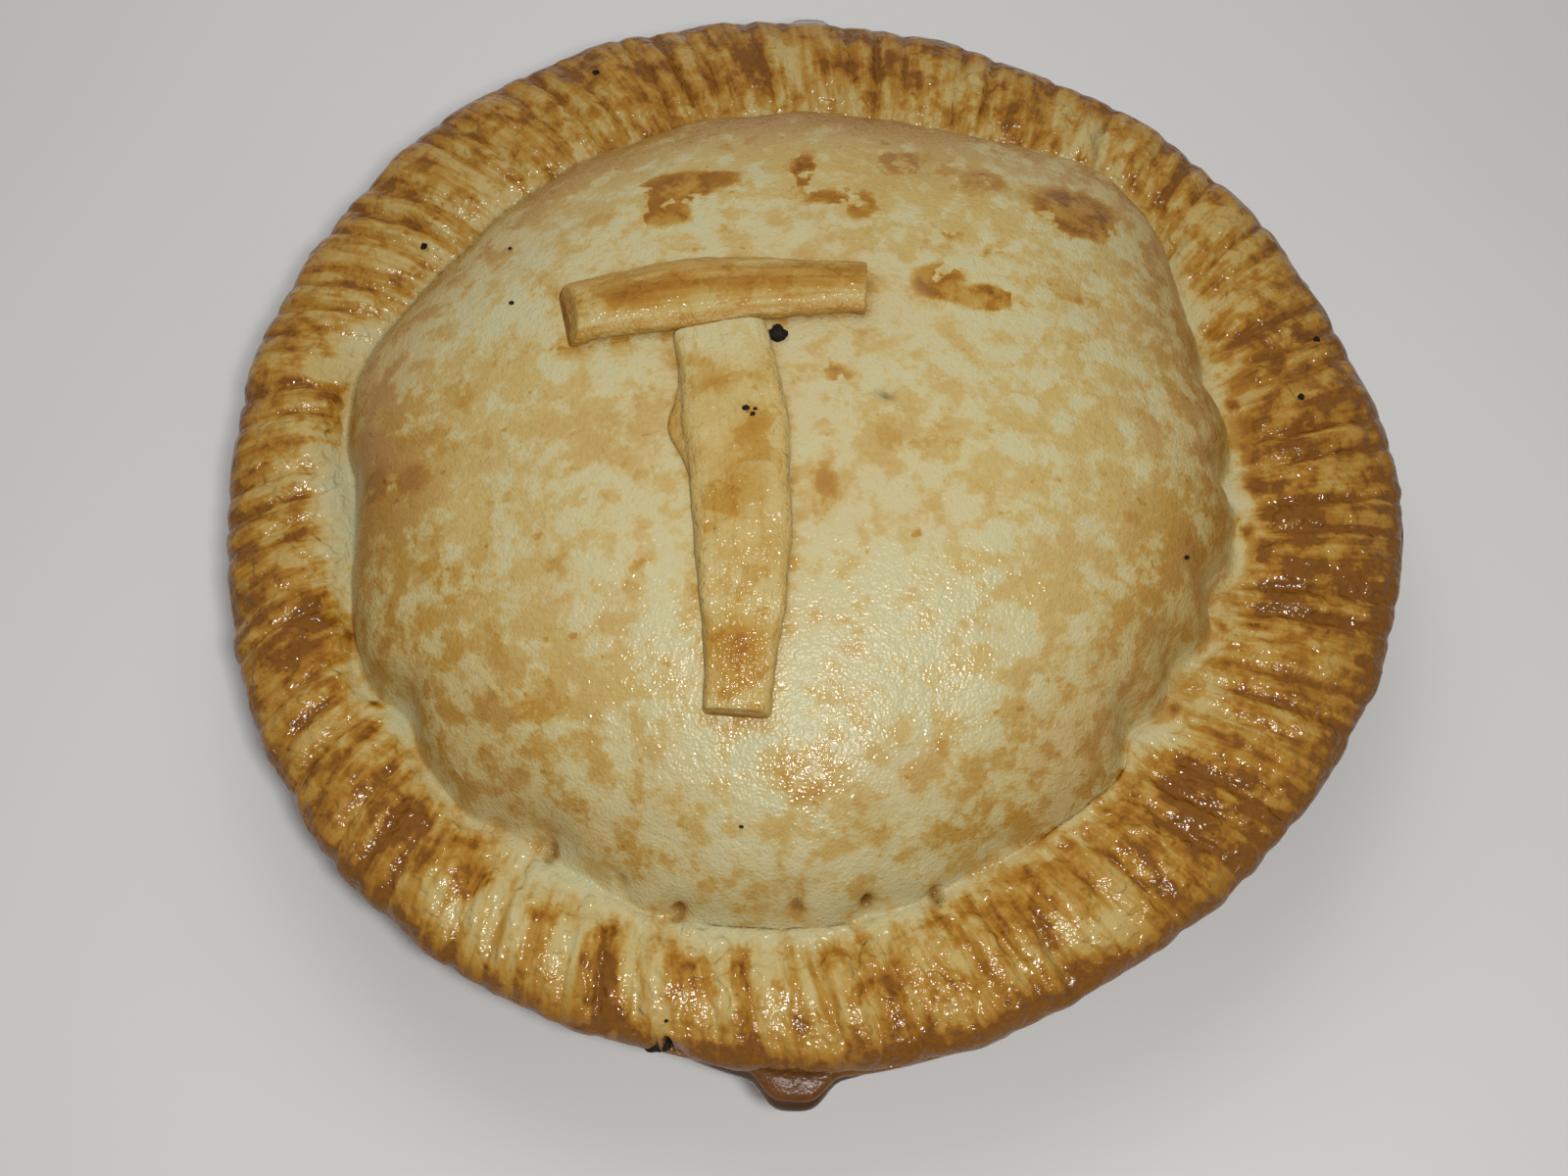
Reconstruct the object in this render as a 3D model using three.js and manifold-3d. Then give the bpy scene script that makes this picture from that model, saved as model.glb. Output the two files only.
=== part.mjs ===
// A domed, uncut turkey pot pie baked in its own clear glass pie plate, with two pastry strips on the lid.
// Millimetres, +Z up. The origin is on the table, under the centre of the plate.
// Angles run anticlockwise seen from above, from +X, which is to the right of someone facing the pie.
import * as THREE from "three";
import { mergeVertices } from "three/addons/utils/BufferGeometryUtils.js";
import Module from "manifold-3d";

const wasm = await Module();
wasm.setup();

// Clearance between pieces that touch.
const GAP = 0.3;

// Glass pie plate.
const PLATE_HEIGHT = 38;
const GLASS = 4.5;
const PLATE_BASE_RADIUS = 88;
const PLATE_MOUTH_RADIUS = 106;
const FLANGE_RADIUS = 121.5;
const HEEL_CURVE = 10;
const MOUTH_CURVE = 4;
const PLATE_SIDES = 72;
const PROFILE_STEPS = 3;

// Two handles of the plate, each a long swell of the flange with a short rounded tip.
const HANDLE_ANGLES = [269, 89];
const HANDLE_REACH = { swell: 6.6, swellWidth: 12, tip: 4.8, tipWidth: 2.9, tipPower: 4 };
const HANDLE_HALF_SPAN = 22;
const HANDLE_STEPS = 44;
const HANDLE_ROOT_RADIUS = 113;
const HANDLE_INSET = 0.2;
const HANDLE_BEVEL = 1.2;

// Crust: the plan of its outer edge and of the crease where the dome meets the rim.
// A wave is [cycles round the pie, height, angle of its crest times the cycles].
const CRUST_RADIUS = 125.8;
const CRUST_WAVES = [
  [2, 0.8, -89],
  [3, 1.85, 7],
  [5, 0.58, -52],
  [6, 0.57, -102],
];
const CREASE_RADIUS = 94.75;
const CREASE_WAVES = [
  [1, 2.9, -153],
  [2, 2.7, 113],
];
// Where the foot of the dome stands out over the rim, or is drawn in: [angle, half width in degrees, reach].
const DOME_LOBES = [
  [43, 16, 9.5],
  [88, 40, -5.5],
  [168, 13, 5],
  [209, 9, 2],
  [268, 14, 2.5],
  [345, 9, 2],
];
// How fast a lobe fades from the crease towards the apex.
const LOBE_SHARPNESS = 3;

// Dome of the lid: a flattened cap whose sides stand steep on the crease.
const CREASE_HEIGHT = 43.5;
const DOME_RISE = 38;
const DOME_FLATNESS = 2.8;
const DOME_SHOULDER = 0.52;
// Lumps of filling under the lid: [x, y, rise, half width].
const DOME_MOUNDS = [
  [-42, -40, 1.6, 24],
  [44, -30, 1.3, 26],
  [52, 40, 1.8, 18],
  [-50, 32, 1.2, 22],
  [6, -82, 1.5, 15],
];

// Rim: a flattened roll from the crease to the edge, pressed all round with a fork.
const RIM_CROWN_HEIGHT = 48.5;
const RIM_EDGE_HEIGHT = 42;
const RIM_CROWN_PLACE = 0.48;
const CRIMP_COUNT = 72;
const CRIMP_JITTER = 0.4;
const CRIMP_DEPTH = [0.35, 1.2];
const CRIMP_HALF_WIDTH = 1.3;
const CRIMP_LEAN = 3.5;
const PAD_RISE = [0.2, 0.9];
const PAD_SPREAD = 0.25;
const CRIMP_START = 0.06;
const CRIMP_FULL = 0.34;
const CRIMP_EDGE_FADE = 0.85;

// Lower layer of the edge: the bottom crust, parted from the lid by a shallow notch, lies on the plate's
// flange and laps out over the front handle and to the right: [angle, half width in degrees, reach, power].
const NOTCH_HEIGHT = 40.4;
const NOTCH_INSET = 1.2;
const LAYER_TOP = 39.7;
const LAYER_INSET = 0.6;
const LAYER_SLANT = 0.5;
const LAYER_LAPS = [
  [269, 2.9, 4.9, 4],
  [273, 9, 1],
  [354, 7, 2.2],
];

// Places of the crust's rings, from the apex (0) to the crease (1) and from the crease (0) to the edge (1).
const DOME_RINGS = [0.15, 0.3, 0.44, 0.57, 0.68, 0.77, 0.845, 0.905, 0.95, 0.982];
const DOME_SIDES = 72;
const RIM_RINGS = [0, 0.1, 0.25, 0.42, 0.6, 0.78, 0.92, 1];
const CRIMP_SAMPLES = [0, 0.22, 0.5, 0.78];

// Pastry strips on the lid, given by a centre line in plan and a width at a few places along it. The cut at
// the first end slants across the strip and leans back towards its top, each by a length in plan.
const STRIP_THICKNESS = 4.5;
const STRIP_STATIONS = 14;
const CUT_FADE = 0.3;
const CROSSBAR = {
  line: [
    [-48.7, 15.2],
    [-19.5, 21.9],
    [12.4, 20.5],
  ],
  widths: [
    [0, 13.8],
    [0.45, 16],
    [1, 11.4],
  ],
  slant: 0,
  lean: 3.1,
};
const UPRIGHT = {
  line: [
    [-16.8, 10.6],
    [-9.4, -28],
    [-12.9, -67.8],
  ],
  widths: [
    [0, 17.8],
    [0.28, 19.6],
    [0.55, 17.9],
    [1, 12],
  ],
  slant: -1.2,
  lean: 0.5,
};
// Cross-section of a strip, round its outline: [place across, from -0.5 to 0.5, height from 0 to 1].
const STRIP_SECTION = [
  [-0.5, 0],
  [-0.18, 0],
  [0.18, 0],
  [0.5, 0],
  [0.53, 0.5],
  [0.45, 0.93],
  [0.16, 1.03],
  [-0.16, 1.03],
  [-0.45, 0.93],
  [-0.53, 0.5],
];

const TURN = 2 * Math.PI;
const GOLDEN = (Math.sqrt(5) - 1) / 2;
const { clamp, degToRad, lerp, radToDeg, smoothstep } = THREE.MathUtils;

// A repeatable, evenly spread number from 0 to 1 for each index, with a different order for each salt.
function spread(index, salt) {
  return ((index + 1) * GOLDEN + salt) % 1;
}

function total(list, value) {
  return list.reduce((sum, item) => sum + value(...item), 0);
}

function waves(angle, list) {
  return total(list, (cycles, height, crest) => height * Math.cos(cycles * angle - degToRad(crest)));
}

// Turns an angle in radians to the range from 0 to one turn.
function oneTurn(angle) {
  return ((angle % TURN) + TURN) % TURN;
}

// Turns an angle in degrees to the range from -180 to 180.
function signedDegrees(degrees) {
  return ((((degrees + 180) % 360) + 360) % 360) - 180;
}

// Bell curve of height 1, with a flatter top for a higher power.
function hump(offset, halfWidth, power = 2) {
  return Math.exp(-(Math.abs(offset / halfWidth) ** power));
}

function interpolate(table, place) {
  const next = Math.max(1, table.findIndex(([at]) => at >= place));
  const [from, low] = table[next - 1];
  const [to, high] = table[next];
  return lerp(low, high, smoothstep(place, from, to));
}

// Crust plan

function crustRadius(angle) {
  return CRUST_RADIUS + waves(angle, CRUST_WAVES);
}

function creaseBase(angle) {
  return CREASE_RADIUS + waves(angle, CREASE_WAVES);
}

// Reach of a list of lobes, each [angle, half width in degrees, reach, power], at an angle in radians.
function lobes(angle, list) {
  const degrees = radToDeg(angle);
  return total(list, (at, halfWidth, reach, power) => {
    return reach * hump(signedDegrees(degrees - at), halfWidth, power);
  });
}

function creaseLobes(angle) {
  return lobes(angle, DOME_LOBES);
}

function creaseRadius(angle) {
  return creaseBase(angle) + creaseLobes(angle);
}

// Height of the dome's surface over a place in plan.
function domeHeight(x, y) {
  const angle = Math.atan2(y, x);
  const radius = Math.hypot(x, y);
  const base = creaseBase(angle);
  const reach = base + creaseLobes(angle) * Math.min(1, radius / base) ** LOBE_SHARPNESS;
  const cap = Math.max(0, 1 - (radius / reach) ** DOME_FLATNESS) ** DOME_SHOULDER;
  const mounds = total(DOME_MOUNDS, (centreX, centreY, rise, halfWidth) => {
    const distance = Math.hypot(x - centreX, y - centreY);
    return rise * hump(distance, halfWidth);
  });
  return CREASE_HEIGHT + DOME_RISE * cap + mounds * Math.sqrt(cap);
}

// Crimps: fork marks round the rim, each with the puffed pad of pastry that follows it.
const crimps = Array.from({ length: CRIMP_COUNT }, (_, index) => ({
  angle: ((index + CRIMP_JITTER * (2 * spread(index, 0) - 1)) / CRIMP_COUNT) * TURN,
  depth: lerp(...CRIMP_DEPTH, spread(index, 0.31)),
  pad: lerp(...PAD_RISE, spread(index, 0.67)),
}));

// Relief of a crimp at a share of the way to the next one: down in the fork mark, up on the pad.
function crimpRelief(index, share) {
  const crimp = crimps[index];
  const next = crimps[(index + 1) % CRIMP_COUNT];
  const pitch = oneTurn(next.angle - crimp.angle);
  const length = pitch * CRUST_RADIUS;
  const thisMark = crimp.depth * hump(share * length, CRIMP_HALF_WIDTH);
  const nextMark = next.depth * hump((1 - share) * length, CRIMP_HALF_WIDTH);
  const relief = crimp.pad * Math.sin(Math.PI * share) - thisMark - nextMark;
  return { angle: crimp.angle + share * pitch, relief };
}

// Angle of a fork mark at a place from the crease (0) to the edge (1): the marks lean round the pie.
function leaningAngle(phase, place) {
  return phase + degToRad(CRIMP_LEAN) * (place - RIM_CROWN_PLACE);
}

// A point of the rim's upper face, at a place from the crease (0) to the edge (1).
function rimPoint(phase, relief, place) {
  const angle = leaningAngle(phase, place);
  const crease = creaseRadius(angle);
  const edge = crustRadius(angle) + PAD_SPREAD * relief;
  const rising = Math.min(1, place / RIM_CROWN_PLACE);
  const falling = clamp((place - RIM_CROWN_PLACE) / (1 - RIM_CROWN_PLACE), 0, 1);
  const foot = place < RIM_CROWN_PLACE ? CREASE_HEIGHT : RIM_EDGE_HEIGHT;
  const roll = place < RIM_CROWN_PLACE ? Math.sin((Math.PI / 2) * rising) : Math.sqrt(1 - falling ** 2);
  const strength = smoothstep(place, CRIMP_START, CRIMP_FULL) * (1 - CRIMP_EDGE_FADE * falling ** 4);
  const height = lerp(foot, RIM_CROWN_HEIGHT, roll) + relief * strength;
  return polar(angle, lerp(crease, edge, place), height);
}

function polar(angle, radius, height) {
  return new THREE.Vector3(radius * Math.cos(angle), radius * Math.sin(angle), height);
}

// A closed skin made of rings, from one end point to the other. A ring is a list of { point, phase },
// its phases rising through one turn, and two neighbouring rings may have different numbers of points.
function loft(rings) {
  const points = rings.flat().map(({ point }) => point);
  const faces = [];
  let start = 0;
  for (let k = 0; k + 1 < rings.length; k++) {
    const [upper, lower] = [rings[k], rings[k + 1]];
    faces.push(...stitch(upper, start, lower, start + upper.length));
    start += upper.length;
  }
  return new THREE.BufferGeometry().setFromPoints(points).setIndex(faces);
}

function stitch(upper, upperStart, lower, lowerStart) {
  const faces = [];
  const at = (ring, start, k) => start + (k % ring.length);
  const phase = (ring, k) => ring[k % ring.length].phase + TURN * Math.floor(k / ring.length);
  const steps = (ring) => (ring.length > 1 ? ring.length : 0);
  let i = 0;
  let j = 0;
  while (i < steps(lower) || j < steps(upper)) {
    const lowerTurn = j === steps(upper) || (i < steps(lower) && phase(lower, i + 1) <= phase(upper, j + 1));
    const corner = lowerTurn ? at(lower, lowerStart, i + 1) : at(upper, upperStart, j + 1);
    faces.push(at(lower, lowerStart, i), corner, at(upper, upperStart, j));
    if (lowerTurn) i++;
    else j++;
  }
  return faces;
}

function evenRing(count, place) {
  return Array.from({ length: count }, (_, k) => {
    const phase = (k / count) * TURN;
    return { phase, point: place(phase) };
  });
}

// Glass pie plate

const PLATE_SLOPE = Math.atan2(PLATE_HEIGHT - GLASS, PLATE_MOUTH_RADIUS - PLATE_BASE_RADIUS);

// Radius of the plate's inner wall at a height, moved in from the glass by an amount square to the wall.
function innerWall(height, inset = 0) {
  const share = (height - GLASS) / (PLATE_HEIGHT - GLASS);
  return lerp(PLATE_BASE_RADIUS, PLATE_MOUTH_RADIUS, share) - inset / Math.sin(PLATE_SLOPE);
}

// The hollow's outline from the flange to the axis, moved in from the glass by an inset.
function hollowCurve(path, inset) {
  const top = PLATE_HEIGHT + inset;
  const floor = GLASS + inset;
  path.lineTo(innerWall(top, inset) + MOUTH_CURVE, top);
  path.quadraticCurveTo(innerWall(top, inset), top, innerWall(top - MOUTH_CURVE, inset), top - MOUTH_CURVE);
  path.lineTo(innerWall(floor + HEEL_CURVE, inset), floor + HEEL_CURVE);
  path.quadraticCurveTo(innerWall(floor, inset), floor, innerWall(floor, inset) - HEEL_CURVE, floor);
  path.lineTo(0, floor);
  return path;
}

function plateGeometry() {
  const underFlange = PLATE_HEIGHT - GLASS;
  const outerWall = (height) => innerWall(height, -GLASS);
  const path = new THREE.Path().moveTo(0, 0);
  path.lineTo(outerWall(0) - HEEL_CURVE, 0);
  path.quadraticCurveTo(outerWall(0), 0, outerWall(HEEL_CURVE), HEEL_CURVE);
  path.lineTo(outerWall(underFlange - MOUTH_CURVE), underFlange - MOUTH_CURVE);
  const flangeRoot = outerWall(underFlange);
  path.quadraticCurveTo(flangeRoot, underFlange, flangeRoot + MOUTH_CURVE, underFlange);
  path.lineTo(FLANGE_RADIUS - GLASS / 2, underFlange);
  path.absarc(FLANGE_RADIUS - GLASS / 2, PLATE_HEIGHT - GLASS / 2, GLASS / 2, -Math.PI / 2, Math.PI / 2);
  const profile = hollowCurve(path, 0).getPoints(PROFILE_STEPS);
  return new THREE.LatheGeometry(profile, PLATE_SIDES).rotateX(Math.PI / 2);
}

function handleGeometry(degrees) {
  const { swell, swellWidth, tip, tipWidth, tipPower } = HANDLE_REACH;
  const reach = (offset) => swell * hump(offset, swellWidth) + tip * hump(offset, tipWidth, tipPower);
  const radius = (offset) => FLANGE_RADIUS - HANDLE_BEVEL + reach(offset);
  const place = (offset, length) => {
    const angle = degToRad(degrees + offset);
    return new THREE.Vector2(length * Math.cos(angle), length * Math.sin(angle));
  };
  const outline = Array.from({ length: HANDLE_STEPS + 1 }, (_, k) => {
    const offset = HANDLE_HALF_SPAN * ((2 * k) / HANDLE_STEPS - 1);
    return place(offset, radius(offset));
  });
  const rootHalfSpan = HANDLE_HALF_SPAN / 2;
  outline.push(place(rootHalfSpan, HANDLE_ROOT_RADIUS), place(-rootHalfSpan, HANDLE_ROOT_RADIUS));
  const thickness = GLASS - 2 * HANDLE_INSET;
  return new THREE.ExtrudeGeometry(new THREE.Shape(outline), {
    depth: thickness - 2 * HANDLE_BEVEL,
    bevelThickness: HANDLE_BEVEL,
    bevelSize: HANDLE_BEVEL,
    bevelSegments: 1,
  }).translate(0, 0, PLATE_HEIGHT - GLASS + HANDLE_INSET + HANDLE_BEVEL);
}

function toSolid(geometry) {
  const bare = geometry.clone().deleteAttribute("normal").deleteAttribute("uv");
  const merged = mergeVertices(bare);
  return new wasm.Manifold(
    new wasm.Mesh({
      numProp: 3,
      vertProperties: merged.attributes.position.array,
      triVerts: new Uint32Array(merged.index.array),
    }),
  );
}

function toGeometry(solid) {
  const mesh = solid.getMesh();
  const geometry = new THREE.BufferGeometry();
  geometry.setAttribute("position", new THREE.BufferAttribute(mesh.vertProperties, 3));
  return geometry.setIndex(new THREE.BufferAttribute(mesh.triVerts, 1));
}

function dishGeometry() {
  const handles = HANDLE_ANGLES.map((degrees) => toSolid(handleGeometry(degrees)));
  return toGeometry(handles.reduce((plate, handle) => plate.add(handle), toSolid(plateGeometry())));
}

// Pie: one solid from the apex over the dome and the crimped rim, round its edge and down into the plate.

function pieGeometry() {
  const apex = [{ phase: 0, point: polar(0, 0, domeHeight(0, 0)) }];
  const dome = DOME_RINGS.map((share) =>
    evenRing(DOME_SIDES, (phase) => {
      const radius = share * creaseRadius(phase);
      return polar(phase, radius, domeHeight(radius * Math.cos(phase), radius * Math.sin(phase)));
    }),
  );
  const samples = crimpSamples();
  const rim = RIM_RINGS.map((place) =>
    samples.map(({ phase, relief }) => ({ phase, point: rimPoint(phase, relief, place) })),
  );
  return loft([apex, ...dome, ...rim, ...layerRings(samples), ...hollowRings()]);
}

function crimpSamples() {
  return crimps
    .flatMap((_, index) => CRIMP_SAMPLES.map((share) => crimpRelief(index, share)))
    .map(({ angle, relief }) => ({ phase: oneTurn(angle), relief }))
    .sort((a, b) => a.phase - b.phase);
}

// The edge below its widest point: the notch, then the upper and lower corner of the bottom crust's layer.
function layerRings(samples) {
  const floor = PLATE_HEIGHT + GAP;
  const layer = (angle) => crustRadius(angle) - LAYER_INSET + lobes(angle, LAYER_LAPS);
  const corners = [
    (angle) => polar(angle, crustRadius(angle) - NOTCH_INSET, NOTCH_HEIGHT),
    (angle) => polar(angle, layer(angle), LAYER_TOP),
    (angle) => polar(angle, layer(angle) - LAYER_SLANT, floor),
  ];
  return corners.map((corner) =>
    samples.map(({ phase }) => ({ phase, point: corner(leaningAngle(phase, 1)) })),
  );
}

// The underside of the pie, from the plate's flange down to the middle of its base.
function hollowRings() {
  const start = new THREE.Path().moveTo(FLANGE_RADIUS, PLATE_HEIGHT + GAP);
  const curve = hollowCurve(start, GAP).getPoints(PROFILE_STEPS).slice(1, -1);
  const rings = curve.map(({ x, y }) => evenRing(PLATE_SIDES, (phase) => polar(phase, x, y)));
  return [...rings, [{ phase: 0, point: polar(0, 0, GLASS + GAP) }]];
}

// Pastry strips

function stripGeometry({ line, widths, slant, lean }) {
  const [from, bend, to] = line.map(([x, y]) => new THREE.Vector2(x, y));
  const curve = new THREE.QuadraticBezierCurve(from, bend, to);
  const raised = (place, height) =>
    new THREE.Vector3(place.x, place.y, domeHeight(place.x, place.y) + GAP + height * STRIP_THICKNESS);
  const stations = Array.from({ length: STRIP_STATIONS + 1 }, (_, k) => {
    const along = k / STRIP_STATIONS;
    const centre = curve.getPoint(along);
    const tangent = curve.getTangent(along);
    const across = tangent.clone().rotateAround(new THREE.Vector2(), -Math.PI / 2);
    const width = interpolate(widths, along);
    const nearCut = 1 - smoothstep(along, 0, CUT_FADE);
    return STRIP_SECTION.map(([offset, height], corner) => {
      const place = centre.clone().addScaledVector(across, offset * width);
      place.addScaledVector(tangent, nearCut * (slant * (offset + 0.5) + lean * height));
      return { phase: (corner / STRIP_SECTION.length) * TURN, point: raised(place, height) };
    });
  });
  const end = (ring) => {
    const middle = ring.reduce((sum, { point }) => sum.add(point), new THREE.Vector3());
    return [{ phase: 0, point: middle.divideScalar(ring.length) }];
  };
  return loft([end(stations[0]), ...stations, end(stations.at(-1))]);
}

// Scene graph

function addMesh(group, name, geometry, finish) {
  geometry.computeVertexNormals();
  const mesh = new THREE.Mesh(geometry, new THREE.MeshStandardMaterial(finish));
  mesh.name = name;
  group.add(mesh);
}

const pot_pie = new THREE.Group();
addMesh(pot_pie, "dish", dishGeometry(), {
  color: 0xdce6e2,
  roughness: 0.06,
  metalness: 0,
  transparent: true,
  opacity: 0.35,
});
addMesh(pot_pie, "pie", pieGeometry(), { color: 0xc4a264, roughness: 0.42, metalness: 0 });
addMesh(pot_pie, "crossbar_strip", stripGeometry(CROSSBAR), {
  color: 0xb07a36,
  roughness: 0.38,
  metalness: 0,
});
addMesh(pot_pie, "upright_strip", stripGeometry(UPRIGHT), {
  color: 0xba9148,
  roughness: 0.38,
  metalness: 0,
});

export default pot_pie;
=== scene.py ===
"""A domed turkey pot pie with two pastry strips on its lid, in its own glass pie plate.

Sizes are in millimetres and repeat those of the CAD model. The origin is on the table under the middle of
the plate, and +Z is up. Angles are in degrees unless a name says otherwise, and run anticlockwise seen from
above, from +X, which is to the right of someone facing the pie. Blender's objects are in metres.
"""

import itertools
import logging
import math
from dataclasses import dataclass
from enum import Enum
from typing import Sequence, TypeVar

import bmesh
import bpy
import numpy as np
from mathutils import Matrix, Vector
from mathutils.bvhtree import BVHTree


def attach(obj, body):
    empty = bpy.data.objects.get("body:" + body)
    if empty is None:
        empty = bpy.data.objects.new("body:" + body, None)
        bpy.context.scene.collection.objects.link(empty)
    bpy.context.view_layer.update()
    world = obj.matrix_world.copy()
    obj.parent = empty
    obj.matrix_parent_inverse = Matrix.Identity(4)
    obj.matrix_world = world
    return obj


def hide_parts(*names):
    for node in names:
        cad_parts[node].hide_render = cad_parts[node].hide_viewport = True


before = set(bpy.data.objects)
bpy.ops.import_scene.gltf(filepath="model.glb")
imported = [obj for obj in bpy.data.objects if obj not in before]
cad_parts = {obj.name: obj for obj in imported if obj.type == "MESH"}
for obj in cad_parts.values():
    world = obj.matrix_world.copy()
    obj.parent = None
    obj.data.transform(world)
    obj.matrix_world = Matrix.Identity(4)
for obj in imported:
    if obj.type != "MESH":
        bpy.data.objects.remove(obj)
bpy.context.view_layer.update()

MM = 0.001
TURN = 2 * math.pi
GOLDEN = (math.sqrt(5) - 1) / 2

Array = np.ndarray
Triple = tuple[float, float, float]
Colour = Triple
Span = tuple[float, float]
Parts = tuple[tuple[float, int], ...]
Mesh = bpy.types.Mesh
Material = bpy.types.Material
Piece = bpy.types.Object
Node = bpy.types.Node
NodeTree = bpy.types.NodeTree
Socket = bpy.types.NodeSocket
Item = TypeVar("Item")
log = logging.getLogger("pot_pie")


class Slot(str, Enum):
    """Material slots of the record."""

    GLASS = "clear_glass"
    CRUST = "baked_crust"
    STRIP = "strip_pastry"


class Layer(str, Enum):
    """Numbers kept at each vertex for the finishes to read."""

    # Browning, with painted shade added at the dome's foot and where the strips meet the lid.
    BAKE = "bake"
    WASH = "wash"
    # Darker along the fork marks, with painted shade in the tine holes.
    GROOVE = "groove"
    # Black: painted shade in the tine holes, the vent and the chip's gap, burnt chip edges, dark cracks.
    BURN_AND_SHADE = "char"
    RIM = "rim"
    FRECKLE = "freckle"
    STREAK = "streak"
    JUICE = "juice"


def hump(offset: Array, half_width: float, power: float = 2) -> Array:
    """Bell curve of height 1, with a flatter top for a higher power."""
    return np.exp(-(np.abs(offset / half_width) ** power))


def smoothstep(value: Array, low: float, high: float) -> Array:
    """Smooth rise from 0 at low to 1 at high."""
    share = np.clip((value - low) / (high - low), 0, 1)
    return share * share * (3 - 2 * share)


def window(value: Array, rise: Span, fall: Span) -> Array:
    """Smooth rise from 0 to 1 over one range and fall to 0 again over another."""
    return smoothstep(value, *rise) * (1 - smoothstep(value, *fall))


def lerp(low: Array, high: Array, share: Array) -> Array:
    """Value at a share of the way from low to high."""
    return low + (high - low) * share


def signed_degrees(angle: Array) -> Array:
    """Angle brought to the range from -180 to 180."""
    return (angle + 180) % 360 - 180


def arc(angle: Array, mark: float, radius: float) -> Array:
    """Length along a circle from a mark to an angle."""
    return np.radians(signed_degrees(angle - mark)) * radius


def spread(index: Array, salt: float) -> Array:
    """Repeatable, evenly spread numbers from 0 to 1, in another order for each salt."""
    return ((index + 1) * GOLDEN + salt) % 1


def polar(radians: Array, radius: Array, height: Array) -> Array:
    """Points given by an angle, a distance from the axis and a height."""
    radians, radius, height = np.broadcast_arrays(radians, radius, height)
    return np.stack([radius * np.cos(radians), radius * np.sin(radians), height], axis=-1)


def each(kind: type[Item], *rows: Sequence[float]) -> tuple[Item, ...]:
    """One item of a kind for each row of its values."""
    return tuple(kind(*row) for row in rows)


@dataclass(frozen=True)
class Octave:
    """One size of noise: its height, the size of its lumps and the shift of its lattice."""

    height: float
    size: float
    shift: float


Octaves = tuple[Octave, ...]


class LatticeNoise:
    """Smooth noise from -1 to 1 on a seeded lattice that repeats every 32 cells."""

    CELLS = 32

    def __init__(self, seed: int) -> None:
        """Draws the lattice's numbers."""
        self.lattice = np.random.default_rng(seed).uniform(-1, 1, (self.CELLS,) * 3)

    def at(self, points: Array, size: float) -> Array:
        """Noise with lumps of about one size.

        Args:
            points: Places in millimetres, one row each.
            size: Spacing of the lattice in millimetres.

        Returns:
            One number for each point.
        """
        cells = points / size
        corner = np.floor(cells).astype(int)
        share = cells - corner
        share = share * share * (3 - 2 * share)
        value = np.zeros(len(points))
        for step in itertools.product((0, 1), repeat=3):
            weight = np.prod(np.where(step, share, 1 - share), axis=1)
            i, j, k = ((corner + step) % self.CELLS).T
            value += weight * self.lattice[i, j, k]
        return value

    def rough(self, points: Array, octaves: Octaves) -> Array:
        """Sum of several sizes of noise."""
        return sum(item.height * self.at(points + item.shift, item.size) for item in octaves)


@dataclass(frozen=True)
class Wave:
    """One wave of an outline round the pie."""

    cycles: int
    height: float
    crest: float


@dataclass(frozen=True)
class Lobe:
    """A local swell of an outline round the pie."""

    angle: float
    half_width: float
    reach: float
    power: float = 2


Lobes = tuple[Lobe, ...]


@dataclass(frozen=True)
class Swell:
    """A round swell over a place in plan: of the lid's height, or of its golden bake."""

    x: float
    y: float
    rise: float
    half_width: float


def waves(radians: Array, items: Sequence[Wave]) -> Array:
    """Sum of waves at angles in radians."""
    return sum(item.height * np.cos(item.cycles * radians - math.radians(item.crest)) for item in items)


def lobes(radians: Array, items: Lobes) -> Array:
    """Sum of lobes at angles in radians."""
    angle = np.degrees(radians)
    return sum(
        item.reach * hump(signed_degrees(angle - item.angle), item.half_width, item.power) for item in items
    )


def swells(x: Array, y: Array, items: Sequence[Swell]) -> Array:
    """Sum of swells over places in plan."""
    return sum(item.rise * hump(np.hypot(x - item.x, y - item.y), item.half_width) for item in items)


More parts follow.
